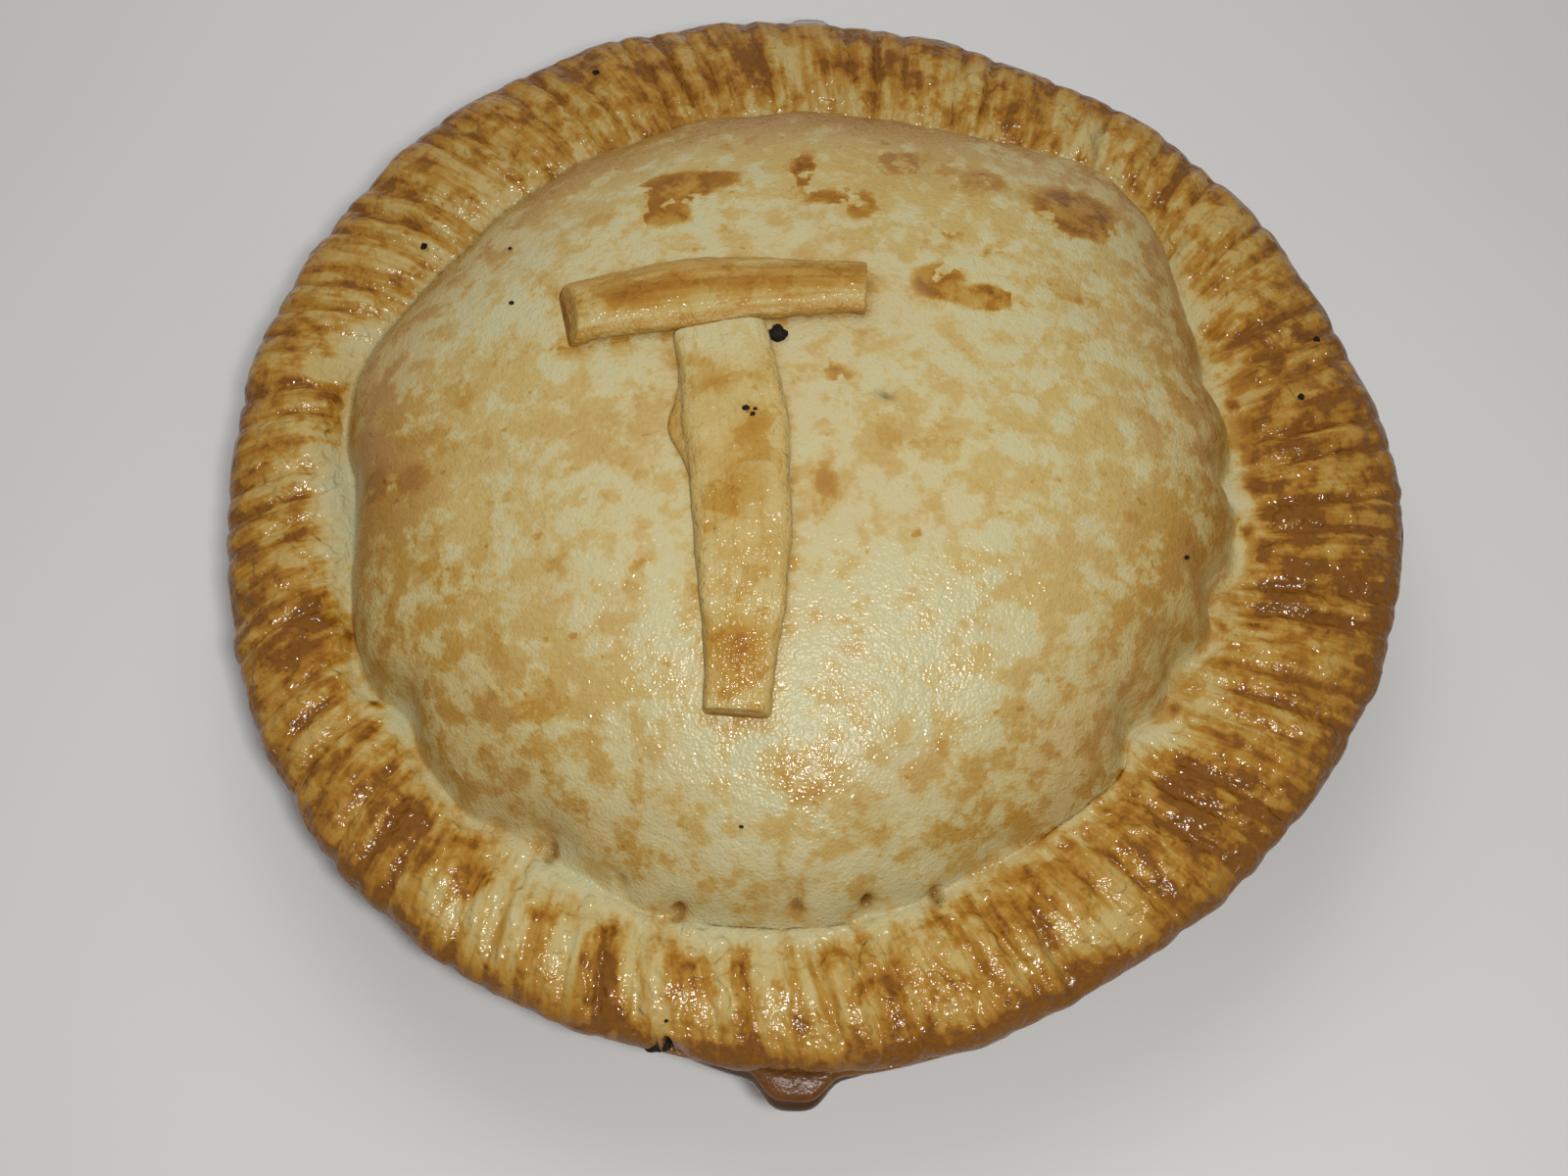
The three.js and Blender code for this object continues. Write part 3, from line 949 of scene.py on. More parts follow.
@dataclass(frozen=True)
class CharFinish:
    """Crumbs that burnt black in the oven; in the chip the black also stands for painted shade."""

    black: Colour = (0.008, 0.006, 0.005)
    brown: Colour = (0.04, 0.02, 0.01)
    flecks: Speckle = Speckle(1800, 3, 0.6)
    brown_range: Span = (0.5, 0.7)
    fleck_range: Span = (0.3, 0.7)
    roughness: Span = (0.4, 0.75)
    grain_height: float = 0.4
    specular: float = 0.22

    def make(self) -> Material:
        """The finish as a material."""
        material, graph, shader = start_material("burnt_crumb")
        flecks = graph.noise(graph.coordinates(), self.flecks)
        graph.feed(
            shader,
            {
                "Base Color": graph.mix(graph.remap(flecks, *self.brown_range), self.black, self.brown),
                "Roughness": graph.remap(flecks, *self.fleck_range, *self.roughness),
                "Normal": graph.bump(flecks, self.grain_height),
                "Specular IOR Level": self.specular,
            },
        )
        return material


@dataclass(frozen=True)
class GlassFinish:
    """Clear pressed oven glass with a thin film of baked butter on it."""

    tint: Colour = (0.96, 0.985, 0.97)
    film_tint: Colour = (0.93, 0.86, 0.7)
    amber: Colour = (0.62, 0.3, 0.06)
    film: Speckle = Speckle(38, 3, 0.6, 1.2)
    film_range: Span = (0.52, 0.75)
    film_gloss: float = 0.8
    roughness: Span = (0.015, 0.08)
    ripple: Speckle = Speckle(60, 2, 0.4)
    ripple_height: float = 0.25
    index: float = 1.47

    def make(self) -> Material:
        """The finish as a material."""
        material, graph, shader = start_material("clear_glass")
        place = graph.coordinates()
        film = graph.remap(graph.noise(place, self.film), *self.film_range)
        clear = graph.mix(film, self.tint, self.film_tint)
        graph.feed(
            shader,
            {
                "Base Color": graph.mix(graph.layer(Layer.WASH), clear, self.amber),
                "Roughness": graph.blend(graph.times(film, self.film_gloss), *self.roughness),
                "Normal": graph.bump(graph.noise(place, self.ripple), self.ripple_height),
                "IOR": self.index,
                "Transmission Weight": 1.0,
            },
        )
        return material


@dataclass(frozen=True)
class FloorFinish:
    """Plain pale matt board."""

    light: Colour = (0.8, 0.785, 0.76)
    dark: Colour = (0.76, 0.745, 0.72)
    cloud: Speckle = Speckle(6, 1, 0.6)
    roughness: float = 0.6

    def make(self) -> Material:
        """The finish as a material."""
        material, graph, shader = start_material("pale_floor")
        cloud = graph.noise(graph.coordinates(), self.cloud)
        colour = graph.mix(cloud, self.light, self.dark)
        graph.feed(shader, {"Base Color": colour, "Roughness": self.roughness})
        return material


@dataclass(frozen=True)
class WashPatch:
    """A patch of the dome where the egg wash lay thick and browned."""

    x: float
    y: float
    half_x: float
    half_y: float
    density: float


@dataclass(frozen=True)
class RimSpot:
    """A place of the rim that is browner, or with a negative change paler, than the rest."""

    angle: float
    place: float
    half_angle: float
    half_place: float
    change: float


@dataclass(frozen=True)
class Crack:
    """A crack in the rim, from one place to another."""

    angle: float
    start: float
    end: float


@dataclass(frozen=True)
class JuiceBead:
    """A bead of browned juice, at a distance outside the crease."""

    angle: float
    offset: float
    radius: float


@dataclass(frozen=True)
class CrustBake:
    """How the crust browned, along its profile and in places, and where the fork and the oven marked it."""

    profile: tuple[Span, ...] = (
        (-1, 0.12), (-0.1, 0.12), (-0.01, 0.17), (0.06, 0.23), (0.16, 0.32), (0.4, 0.4), (0.7, 0.45),
        (0.88, 0.55), (1.0, 0.79), (1.12, 0.9), (1.3, 0.96), (1.45, 0.84), (1.7, 0.76), (2.0, 0.55),
        (3.0, 0.5),
    )
    patches: tuple[WashPatch, ...] = each(
        WashPatch,
        (-27, 50, 9, 5, 1.0), (-18, 52, 6, 3.5, 0.8), (-29, 43, 6, 5, 0.95), (-42, 46, 5, 6, 0.42),
        (0, 54, 3, 6, 0.9), (5, 46, 6, 2.5, 0.85), (12, 44, 4, 5, 0.75), (21, 58, 6, 5, 0.7),
        (30, 56, 4, 3, 0.55), (38, 53, 6, 4, 0.7), (58, 47, 10, 8, 0.95), (30, 37, 3, 3, 0.65),
        (40, 33, 5, 2.5, 0.65), (27.5, 24, 6, 5, 1.0), (36, 20.5, 8, 3.5, 1.0), (55, 25, 6, 4, 0.68),
        (-14, 65, 4, 3, 0.5), (-57, 11, 3, 3, 0.55), (-78, -15, 5, 4, 0.58), (-87, -14, 4, 5, 0.55),
        (-70, -4, 9, 9, 0.45), (-60, -22, 9, 4, 0.48), (-65, -36, 9, 8, 0.42), (-78, -49, 5, 9, 0.45),
        (-54, -61, 10, 6, 0.5), (7, 1, 3, 2.5, 0.95), (4, -24, 2.5, 7, 0.66), (21, -12, 7, 5, 0.45),
        (63, -22, 5, 5, 0.46), (21, -34, 1.6, 1.6, 0.8), (54, 0, 5, 4, 0.5), (25, -72, 4, 3, 0.5),
        (0, -79, 6, 4, 0.55), (14, -84, 4, 3, 0.5), (-36, -22, 6, 6, 0.42), (-47, -39, 3, 5, 0.52),
        (-31, -40, 3, 3, 0.6),
    )
    glows: tuple[Swell, ...] = each(
        Swell,
        (-38, -11, 0.1, 13), (-63, 1, 0.1, 13), (-77, -14, 0.1, 12), (-66, -33, 0.09, 13),
        (-58, -52, 0.08, 13), (-42, -63, 0.1, 12), (-88, -10, 0.14, 15), (15, -12, 0.1, 10),
        (36, -20, 0.07, 10), (57, -6, 0.08, 13), (50, -42, 0.07, 13), (70, -29, 0.08, 12),
        (73, 14, 0.08, 14), (69, -23, 0.08, 9), (36, 48, 0.06, 28), (8, 78, 0.3, 26), (-45, 62, 0.12, 22),
        (30, -74, 0.05, 13), (0, -80, 0.07, 9),
    )
    vent: Span = (16, -4)
    spots: tuple[RimSpot, ...] = each(
        RimSpot,
        (243.5, 0.45, 1.6, 0.25, 0.18), (250.8, 0.55, 1.7, 0.3, 0.22), (258.8, 0.45, 1.9, 0.25, 0.24),
        (263.4, 0.38, 1.4, 0.15, 0.18), (278.5, 0.4, 4, 0.25, 0.14), (338, 0.5, 6, 0.35, 0.04),
        (4, 0.12, 5, 0.14, 0.18), (226, 0.36, 7, 0.26, 0.2), (247, 0.55, 2.2, 0.22, -0.2),
        (254.6, 0.6, 2.4, 0.25, -0.2), (271, 0.5, 3.5, 0.2, -0.12), (299, 0.75, 3, 0.15, -0.16),
        (237, 0.6, 3, 0.25, -0.18), (91.5, 0.45, 2.2, 0.35, -0.18), (85.5, 0.45, 2.4, 0.35, -0.14),
        (68, 0.4, 3, 0.35, -0.16), (355, 0.55, 32, 0.5, 0.07), (90, 0.5, 60, 0.5, 0.06),
        (284, 0.97, 17, 0.1, 0.16), (0, 0.99, 50, 0.08, 0.14), (202, 0.4, 6, 0.35, 0.16),
        (191, 0.45, 4, 0.3, 0.08), (174, 0.08, 5, 0.2, 0.16), (312, 0.32, 7, 0.3, 0.15),
        (294, 0.3, 5, 0.25, 0.2), (112, 0.4, 8, 0.3, 0.06), (97, 0.4, 4, 0.4, 0.05),
        (81, 0.5, 6, 0.4, 0.08), (344, 0.37, 5, 0.3, 0.05), (6, 0.3, 7, 0.3, 0.12),
        (350, 0.25, 35, 0.18, 0.09), (300, 0.02, 2.5, 0.06, 0.25), (204, 0.0, 2.5, 0.05, 0.3),
        (187, 0.1, 7, 0.16, -0.66), (240.4, 0.54, 2.2, 0.2, -0.32), (249.7, 0.69, 1.8, 0.2, 0.16),
        (313, 0.46, 4, 0.25, 0.12), (268, 0.62, 2.5, 0.2, 0.14), (163, 0.19, 3.5, 0.1, -0.34),
        (217.5, 0.05, 3, 0.1, -0.34), (233, 0.75, 4, 0.16, -0.16), (319, 0.14, 4, 0.12, -0.28),
        (358, 0.0, 4, 0.08, -0.25), (241, 0.12, 3.5, 0.14, -0.3), (247, 0.02, 4, 0.12, -0.26),
        (257, 0.14, 5, 0.12, -0.2), (268, 0.08, 8, 0.1, -0.2), (285, 0.0, 8, 0.06, -0.18),
        (52, 0.46, 6, 0.3, -0.18), (262, 0.45, 20, 0.4, -0.1), (222, 0.6, 13, 0.5, 0.07),
        (312, 0.6, 11, 0.5, 0.07),
    )
    fork_lines: tuple[float, ...] = (
        *(111, 108.5, 105.5, 102.5, 97.2, 95.6, 88.5, 87, 83, 80.5, 76.5, 71, 66.5, 59.5),
        *(351.5, 344, 339, 333, 329.5, 357, 4, 11, 18, 26, 33, 41),
        *(174, 182, 190, 197, 200, 204.5, 210, 216.5, 223),
        *(234, 240, 243, 251, 258.5, 263.5, 271.5, 277.5, 283, 290),
        *(314, 306.5, 300, 321, 124, 134, 146, 156, 165),
    )
    tine_holes: tuple[float, ...] = (240, 249, 256, 269, 277, 285, 22, 35, 60, 74, 92, 110, 128, 150, 183)
    juice_beads: tuple[JuiceBead, ...] = each(
        JuiceBead,
        (202.8, 0.8, 1.8), (212.3, 1.4, 1.6), (300.2, 0.6, 1.7), (307.4, 1.3, 1.8), (311.8, 0.4, 1.5),
        (323, 2.0, 1.9), (336, 2.4, 2.4), (350.1, 2.8, 2.8), (2.5, 2.6, 2.2), (8.9, 3.4, 2.2),
        (15.5, 5.6, 2.7),
    )
    cracks: tuple[Crack, ...] = each(Crack, (292.5, 0.5, 0.97), (51, 0.14, 0.74))
    chip_angle: float = 256.4
    laps: Lobes = each(Lobe, (269, 6, 1.0), (354, 9, 0.7))
    patch_fade: Span = (0.55, 1.6)

    def wash(self, points: Array) -> Array:
        """Density of the egg wash at points of the dome."""
        x, y = points[:, 0], points[:, 1]
        density = np.zeros(len(points))
        for patch in self.patches:
            away = np.hypot((x - patch.x) / patch.half_x, (y - patch.y) / patch.half_y)
            density = np.maximum(density, patch.density * (1 - smoothstep(away, *self.patch_fade)))
        return density

    def glow(self, points: Array) -> Array:
        """How golden the dome is in soft freckles."""
        return swells(points[:, 0], points[:, 1], self.glows)

    def spot_change(self, angle: Array, place: Array) -> Array:
        """Change of the rim's bake from its spots."""
        change = np.zeros(len(angle))
        for spot in self.spots:
            across = signed_degrees(angle - spot.angle)
            change += spot.change * hump(across, spot.half_angle) * hump(place - spot.place, spot.half_place)
        return change


@dataclass(frozen=True)
class StripPlan:
    """Where a strip lies on the lid: a bent centre line and the widths along it.

    The cut at the first end slants across the strip and leans back towards its top.
    """

    line: tuple[Span, Span, Span]
    widths: tuple[Span, ...]
    slant: float
    lean: float
    cut_fade: float = 0.3
    end_margin: float = 1
    samples: int = 60

    def width(self, along: float) -> float:
        """Width at a share of the way along."""
        places, widths = zip(*self.widths)
        k = min(max(1, int(np.searchsorted(places, along))), len(places) - 1)
        return lerp(widths[k - 1], widths[k], smoothstep(along, places[k - 1], places[k]))

    def centre(self, along: float) -> tuple[Array, Array]:
        """Point of the centre line and the unit vector across it."""
        start, bend, end = (np.array(point, float) for point in self.line)
        point = (1 - along) ** 2 * start + 2 * along * (1 - along) * bend + along**2 * end
        tangent = (1 - along) * (bend - start) + along * (end - bend)
        tangent /= np.linalg.norm(tangent)
        return point, np.array([tangent[1], -tangent[0]])

    def places(self, along: float, offsets: Array, heights: Array) -> Array:
        """Places in plan of points at offsets across the centre line and at heights from 0 to 1."""
        point, across = self.centre(along)
        tangent = np.array([-across[1], across[0]])
        near_cut = 1 - smoothstep(along, 0, self.cut_fade)
        share = offsets / self.width(along) + 0.5
        cut_back = near_cut * (self.slant * share + self.lean * heights)
        return point + offsets[:, None] * across + cut_back[:, None] * tangent

    def away(self, plan: Array) -> Array:
        """Distance of places in plan from the strip, below 0 under it."""
        nearest = np.full(len(plan), np.inf)
        for along in np.linspace(0, 1, self.samples):
            point, across = self.centre(along)
            offset = plan - point
            beside = np.abs(offset @ across) - self.width(along) / 2
            beyond = np.abs(offset @ np.array([-across[1], across[0]])) - self.end_margin
            nearest = np.minimum(nearest, np.maximum(beside, beyond))
        return nearest


@dataclass(frozen=True)
class Vertices:
    """Vertices of the crust: points in millimetres, phases in radians and places along the profile.

    Places run from -1 at the apex over 0 at the crease, 1 at the lid's edge, 1.5 at the bottom crust's edge
    and 2 at the plate's mouth to 3 on the plate's floor.
    """

    points: Array
    phase: Array
    place: Array


@dataclass(frozen=True)
class CrustRings:
    """The crust's smooth skin in rings: dome, rim, edge and the base in the plate."""

    shape: PieShape
    plate: PlateShape
    laps: Lobes
    fine_count: int = 960
    dome_rings: int = 72
    dome_parts: Parts = ((0.12, 8), (0.36, 4), (0.9, 2), (1.0, 1))
    rising_rings: int = 18
    falling_rings: int = 24
    edge_tuck: float = 0.12
    edge_drops: Span = (0.7, 1.25)
    edge_turn: float = 0.45
    layer_tuck: float = 0.1
    layer_drops: Span = (0.35, 0.9)
    lap_drop: float = 1.1
    lap_rows: tuple[Span, ...] = ((0.4, 0.0), (0.75, 0.05), (0.93, 0.35))
    lap_power: float = 1.4
    lap_share_under: float = 0.7
    overlap: float = 0.12
    base_ledge: float = 6
    floor_parts: Parts = ((0.75, 8), (0.4, 16))

    def skin(self) -> RingSkin:
        """All rings, from the apex of the dome to the middle of the base."""
        skin = RingSkin()
        self._add_dome(skin)
        self._add_rim(skin)
        self._add_edge(skin)
        self._add_base(skin)
        return skin

    def _count(self, share: float) -> int:
        """Points of a dome ring at a share of the way to the crease."""
        return next(self.fine_count // parts for limit, parts in self.dome_parts if share < limit)

    def _add_dome(self, skin: RingSkin) -> None:
        """Adds the apex and the rings of the dome, short of the crease."""
        shape = self.shape
        skin.add(np.array([0, 0, float(shape.dome_height(np.array(0.0), np.array(0.0)))]), -1)
        for k in range(1, self.dome_rings):
            turn = math.pi / 2 * k / self.dome_rings
            share = math.sin(turn) ** (2 / shape.dome_flatness)
            radians = shape.leaning(skin.phases(self._count(share)), 0)
            radius = share * shape.crease(radians)
            x, y = radius * np.cos(radians), radius * np.sin(radians)
            skin.add(np.stack([x, y, shape.dome_height(x, y)], axis=-1), share - 1)

    def _add_rim(self, skin: RingSkin) -> None:
        """Adds the rim's rings, from the crease to the edge."""
        crown = self.shape.crown_place
        rising = crown * np.arange(self.rising_rings) / self.rising_rings
        turn = np.pi / 2 * np.arange(self.falling_rings + 1) / self.falling_rings
        falling = crown + (1 - crown) * np.sin(turn)
        phase = skin.phases(self.fine_count)
        for place in (*rising, *falling):
            skin.add(self.shape.rim_points(phase, min(1.0, float(place))), place)

    def _add_edge(self, skin: RingSkin) -> None:
        """Adds the lid's lower edge, the notch under it and the edge of the bottom crust."""
        shape = self.shape
        phase = skin.phases(self.fine_count)
        radians = shape.leaning(phase, 1)
        lid = shape.crust(radians) + shape.pad_spread * shape.crimp_relief(phase)
        notch = shape.crust(radians) - shape.notch_inset
        layer = shape.layer(radians)
        lap = self.lap_drop * lobes(radians, self.laps)
        first, second = self.edge_drops
        skin.add(polar(radians, lid - self.edge_tuck, shape.edge_height - first), 1.1)
        skin.add(polar(radians, lerp(lid, notch, self.edge_turn), shape.edge_height - second), 1.2)
        skin.add(polar(radians, notch, shape.notch_height), 1.3)
        for share, drop in self.lap_rows:
            height = lerp(shape.notch_height, shape.layer_top, drop) - lap * share**self.lap_power
            skin.add(polar(radians, lerp(notch, layer, share), height), 1.4 + 0.1 * share)
        first, second = self.layer_drops
        under = shape.layer_top - second - self.lap_share_under * lap
        skin.add(polar(radians, layer, shape.layer_top - first - lap), 1.5)
        skin.add(polar(radians, layer - self.layer_tuck, under), 1.6)
        skin.add(polar(radians, layer - shape.layer_slant, self.plate.height - self.overlap), 1.7)

    def _add_base(self, skin: RingSkin) -> None:
        """Adds the underside, which reaches just into the glass."""
        profile = self.plate.hollow(-self.overlap)
        half = skin.phases(self.fine_count // 2)
        skin.add(polar(half, profile[0, 0] + self.base_ledge, profile[0, 1]), 1.9)
        quarter = skin.phases(self.fine_count // 4)
        for k, (radius, height) in enumerate(profile):
            skin.add(polar(quarter, radius, height), 2 + k / len(profile))
        floor = profile[-1, 1]
        for share, parts in self.floor_parts:
            skin.add(polar(skin.phases(self.fine_count // parts), share * profile[-1, 0], floor), 3)
        skin.add(np.array([0, 0, floor]), 3)


@dataclass(frozen=True)
class CrustRelief:
    """Unevenness of the crust: lumps, puffs, blisters, a wandering crease and a fold at the front."""

    shape: PieShape
    noise: LatticeNoise
    lump_noise: Octaves = each(Octave, (0.8, 30, 1200), (0.42, 12, 480), (0.1, 4.2, 168))
    lumps_end: Span = (1.3, 1.75)
    puff_noise: Octaves = each(Octave, (0.55, 9.5, 71), (0.28, 4.8, 160))
    blister_noise: Octaves = each(Octave, (1, 2.8, 13))
    blister_height: float = 0.34
    blister_power: float = 1.5
    scratch_noise: Octaves = each(Octave, (0.12, 2.3, 200))
    puffs_rise: Span = (0.02, 0.2)
    puffs_fall: Span = (1.05, 1.4)
    crease_width: float = 4.0
    crease_depths: Lobes = each(
        Lobe, (190, 40, -1.0), (25, 40, -0.5), (335, 20, -0.3), (264, 24, 0.8), (310, 12, 0.8)
    )
    crease_pads: Lobes = each(
        Lobe,
        (358, 2.6, -3.4), (341, 3, -2.8), (329, 3.4, -3), (318, 3.2, -2.8), (13, 3, -2), (187, 5, -1.5),
        (217.5, 3, -2.6), (232, 3, 1.2), (241, 3.5, -2.2),
    )
    plan_wander: Octaves = each(Octave, (1.5, 13, 45))
    fine_wander: Octaves = each(Octave, (0.6, 6, 17))
    wander_width: float = 1.6
    sunken: Lobes = each(Lobe, (332, 48, 1.0, 4), (246, 40, 0.75, 4))
    sunken_width: float = 5.0
    fold_angle: float = 269
    fold_depth: float = 0.28
    fold_half_angle: float = 11
    fold_power: float = 4
    fold_offset: float = 0.19
    fold_bulge: float = 7
    fold_half_width: float = 1.1

    def lumps(self, points: Array, place: Array) -> Array:
        """Soft unevenness of the lid, in millimetres."""
        return self.noise.rough(points, self.lump_noise) * (1 - smoothstep(place, *self.lumps_end))

    def rim(self, at: Vertices) -> Array:
        """Depth of the crease, and puffs, blisters and fine tine scratches of the rim, in millimetres."""
        puffs = self.noise.rough(at.points, self.puff_noise)
        raised = np.maximum(0, self.noise.rough(at.points, self.blister_noise))
        blisters = self.blister_height * raised**self.blister_power
        scratches = self.noise.rough(self.shape.streaks(at.phase, at.place), self.scratch_noise)
        away = self.shape.from_crease(at.place)
        crease = lobes(at.phase, self.crease_depths) * hump(away, self.crease_width)
        strength = window(at.place, self.puffs_rise, self.puffs_fall)
        return strength * (puffs + blisters + scratches) + crease - self._fold(at)

    def _fold(self, at: Vertices) -> Array:
        """Depth of the fold where the dome's foot lies on the front of the rim, in millimetres."""
        across = signed_degrees(np.degrees(at.phase) - self.fold_angle)
        away = self.shape.from_crease(at.place - self.fold_offset * hump(across, self.fold_bulge))
        depth = self.fold_depth * hump(across, self.fold_half_angle, self.fold_power)
        return depth * hump(away, self.fold_half_width)

    def wander(self, at: Vertices) -> Array:
        """How far the uneven crease and the folds beside it move outward, in millimetres."""
        wander = self.noise.rough(at.points * (1, 1, 0), self.plan_wander)
        wander = wander + self.noise.rough(at.points, self.fine_wander) + lobes(at.phase, self.crease_pads)
        return wander * hump(self.shape.from_crease(at.place), self.wander_width * self.crease_width)

    def filled(self, at: Vertices, reach: float) -> Array:
        """Share of the dough that sank down the dome and fills the crease at the front and on the right.

        Args:
            at: The vertices.
            reach: How far up the dome the dough begins, in millimetres.

        Returns:
            Numbers from 0 to 1, with 1 at the crease.
        """
        above = np.maximum(0, at.points[:, 2] - self.shape.crease_height)
        beyond = hump(self.shape.from_crease(at.place), self.sunken_width)
        return lobes(at.phase, self.sunken) * np.where(at.place < 0, np.exp(-above / reach), beyond)


@dataclass(frozen=True)
class Marks:
    """How strongly each kind of mark shows at each vertex, from 0 to 1."""

    line: Array
    hole: Array
    furrow: Array
    crack: Array
    chip: Array
    vent: Array
    bead: Array


@dataclass(frozen=True)
class CrustMarks:
    """Marks of the fork and the oven: fork lines, tine holes, beads of juice, cracks, a chip and a vent."""

    shape: PieShape
    bake: CrustBake
    noise: LatticeNoise
    line_depth: float = 0.26
    line_half_width: float = 0.8
    line_leans: Lobes = each(Lobe, (196, 34, 4.5), (314, 13, -6))
    line_wander: Octaves = each(Octave, (1.2, 9, 303), (0.4, 4, 131))
    line_strength: float = 0.65
    line_breaks: Octaves = each(Octave, (0.35, 6, 222))
    line_starts: Span = (0.0, 0.34)
    line_ends: Span = (0.7, 1.1)
    line_fades: Span = (0.25, 0.3)
    line_strengths: Span = (0.35, 1.0)
    line_widths: Span = (0.7, 1.8)
    hole_depth: float = 2.4
    hole_radius: float = 1.35
    hole_stretch: Triple = (1, 1, 0.4)
    hole_strengths: Span = (0.4, 1.0)
    hole_insets: Span = (-0.3, 1.4)
    front_inset: Lobe = Lobe(269, 5, 0.4)
    # The tine holes are darkened with painted shade, in the tint and in the black.
    hole_shade_tint: float = 1.6
    hole_shade: float = 0.9
    furrow_depth: float = 0.9
    furrow_half_width: float = 0.9
    furrow_rise: Span = (-0.02, 0.02)
    furrow_fall: Span = (0.12, 0.3)
    furrow_tint: float = 0.9
    bead_height: float = 0.9
    bead_level: float = 1
    bead_stretch: Triple = (1, 1, 0.35)
    bead_strengths: Span = (0.6, 1.0)
    crack_depth: float = 0.9
    crack_half_width: float = 0.55
    crack_fades: Span = (0.12, 0.05)
    crack_wander: Octaves = each(Octave, (1.3, 5, 520), (0.5, 2, 77))
    crack_dark: float = 0.5
    chip_depth: float = 3.0
    chip_half_width: float = 2.1
    chip_teeth: tuple[Triple, ...] = ((0.7, 0, 0), (0.4, 2.4, 0), (0.3, 3.5, 1))
    chip_rise: Span = (0.88, 1.0)
    chip_fall: Span = (1.25, 1.45)
    # The chip is blackened: partly burnt pastry, partly painted shade in its gap.
    chip_burn_and_shade: float = 1.2
    vent_depth: float = 0.9
    vent_turn: Span = (0.8, 0.6)
    vent_size: Span = (0.7, 1.4)
    # The vent slit is blackened with painted shade.
    vent_shade: float = 0.7
    crimp_tint: float = 0.25
    most_tint: float = 1.8

    def find(self, at: Vertices) -> Marks:
        """All marks at the crust's vertices."""
        line = self._fork_lines(at)
        hole, furrow = self._tine_holes(at)
        crack = self._cracks(at)
        return Marks(line, hole, furrow, crack, self._chip(at), self._vent(at), self._beads(at))

    def pressed(self, relief: Array, marks: Marks) -> Array:
        """A relief with the marks pressed into it and the beads raised on it, in millimetres."""
        dents = self.line_depth * marks.line + self.hole_depth * marks.hole
        dents += self.furrow_depth * marks.furrow
        dents += self.crack_depth * marks.crack
        return relief - dents - self.vent_depth * marks.vent + self.bead_height * marks.bead

    def tint(self, at: Vertices, marks: Marks) -> Array:
        """How much the marks darken the crust."""
        tint = marks.line + self.furrow_tint * marks.furrow + self.hole_shade_tint * marks.hole
        tint += self.crimp_tint * self.shape.crimp_groove(at.phase, at.place)
        return np.clip(tint, 0, self.most_tint)

    def char(self, marks: Marks) -> Array:
        """Blackness from 0 to 1: painted shade in the holes, vent and chip, burnt chip edges, dark cracks."""
        char = self.hole_shade * marks.hole**2 + self.crack_dark * marks.crack
        char += self.chip_burn_and_shade * marks.chip**2
        char += self.vent_shade * marks.vent
        return np.clip(char, 0, 1)

    def _along_rim(self, angle: Array, mark: float) -> Array:
        """Length along the rim from a mark to an angle, in millimetres."""
        return arc(angle, mark, self.shape.streak_radius)

    def _fork_lines(self, at: Vertices) -> Array:
        """Deep lines that single tines pressed into the rim."""
        lean = lobes(at.phase, self.line_leans) * (at.place - self.shape.crown_place)
        angle = np.degrees(at.phase) - lean
        wander = self.noise.rough(at.points, self.line_wander)
        fade_in, fade_out = self.line_fades
        lines = np.zeros(len(angle))
        for k, mark in enumerate(self.bake.fork_lines):
            start = lerp(*self.line_starts, spread(k, 0.13))
            end = lerp(*self.line_ends, spread(k, 0.57))
            reach = window(at.place, (start, start + fade_in), (end - fade_out, end))
            strength = lerp(*self.line_strengths, spread(k, 0.81))
            width = self.line_half_width * lerp(*self.line_widths, spread(k, 0.29))
            across = self._along_rim(angle, mark) + wander
            lines = np.maximum(lines, strength * reach * hump(across, width))
        return lines * (self.line_strength + self.noise.rough(at.points, self.line_breaks))

    def _tine_holes(self, at: Vertices) -> tuple[Array, Array]:
        """Pits that the fork's points left along the crease, and the furrows that run out from them."""
        pits = np.zeros(len(at.points))
        furrows = np.zeros(len(at.points))
        angle = np.degrees(at.phase)
        front = self.front_inset
        reach = window(at.place, self.furrow_rise, self.furrow_fall)
        for k, mark in enumerate(self.bake.tine_holes):
            radians = math.radians(mark)
            strength = lerp(*self.hole_strengths, spread(k, 0.9))
            inset = lerp(*self.hole_insets, spread(k, 0.4))
            inset += front.reach * hump(mark - front.angle, front.half_width)
            radius = self.shape.crease(np.array(radians)) - inset
            height = self.shape.dome_height(radius * np.cos(radians), radius * np.sin(radians))
            centre = polar(radians, radius, height)
            away = np.linalg.norm((at.points - centre) * self.hole_stretch, axis=1)
            pits = np.maximum(pits, strength * hump(away, self.hole_radius))
            across = arc(angle, mark, self.shape.crease_radius)
            furrows = np.maximum(furrows, strength * reach * hump(across, self.furrow_half_width))
        return pits, furrows

    def _beads(self, at: Vertices) -> Array:
        """Beads of juice that boiled out near the crease and browned."""
        beads = np.zeros(len(at.points))
        for k, bead in enumerate(self.bake.juice_beads):
            radians = math.radians(bead.angle)
            radius = self.shape.crease(np.array(radians)) + bead.offset
            centre = polar(radians, radius, self.shape.crease_height + self.bead_level)
            away = np.linalg.norm((at.points - centre) * self.bead_stretch, axis=1)
            strength = lerp(*self.bead_strengths, spread(k, 0.7))
            beads = np.maximum(beads, strength * hump(away, bead.radius))
        return beads

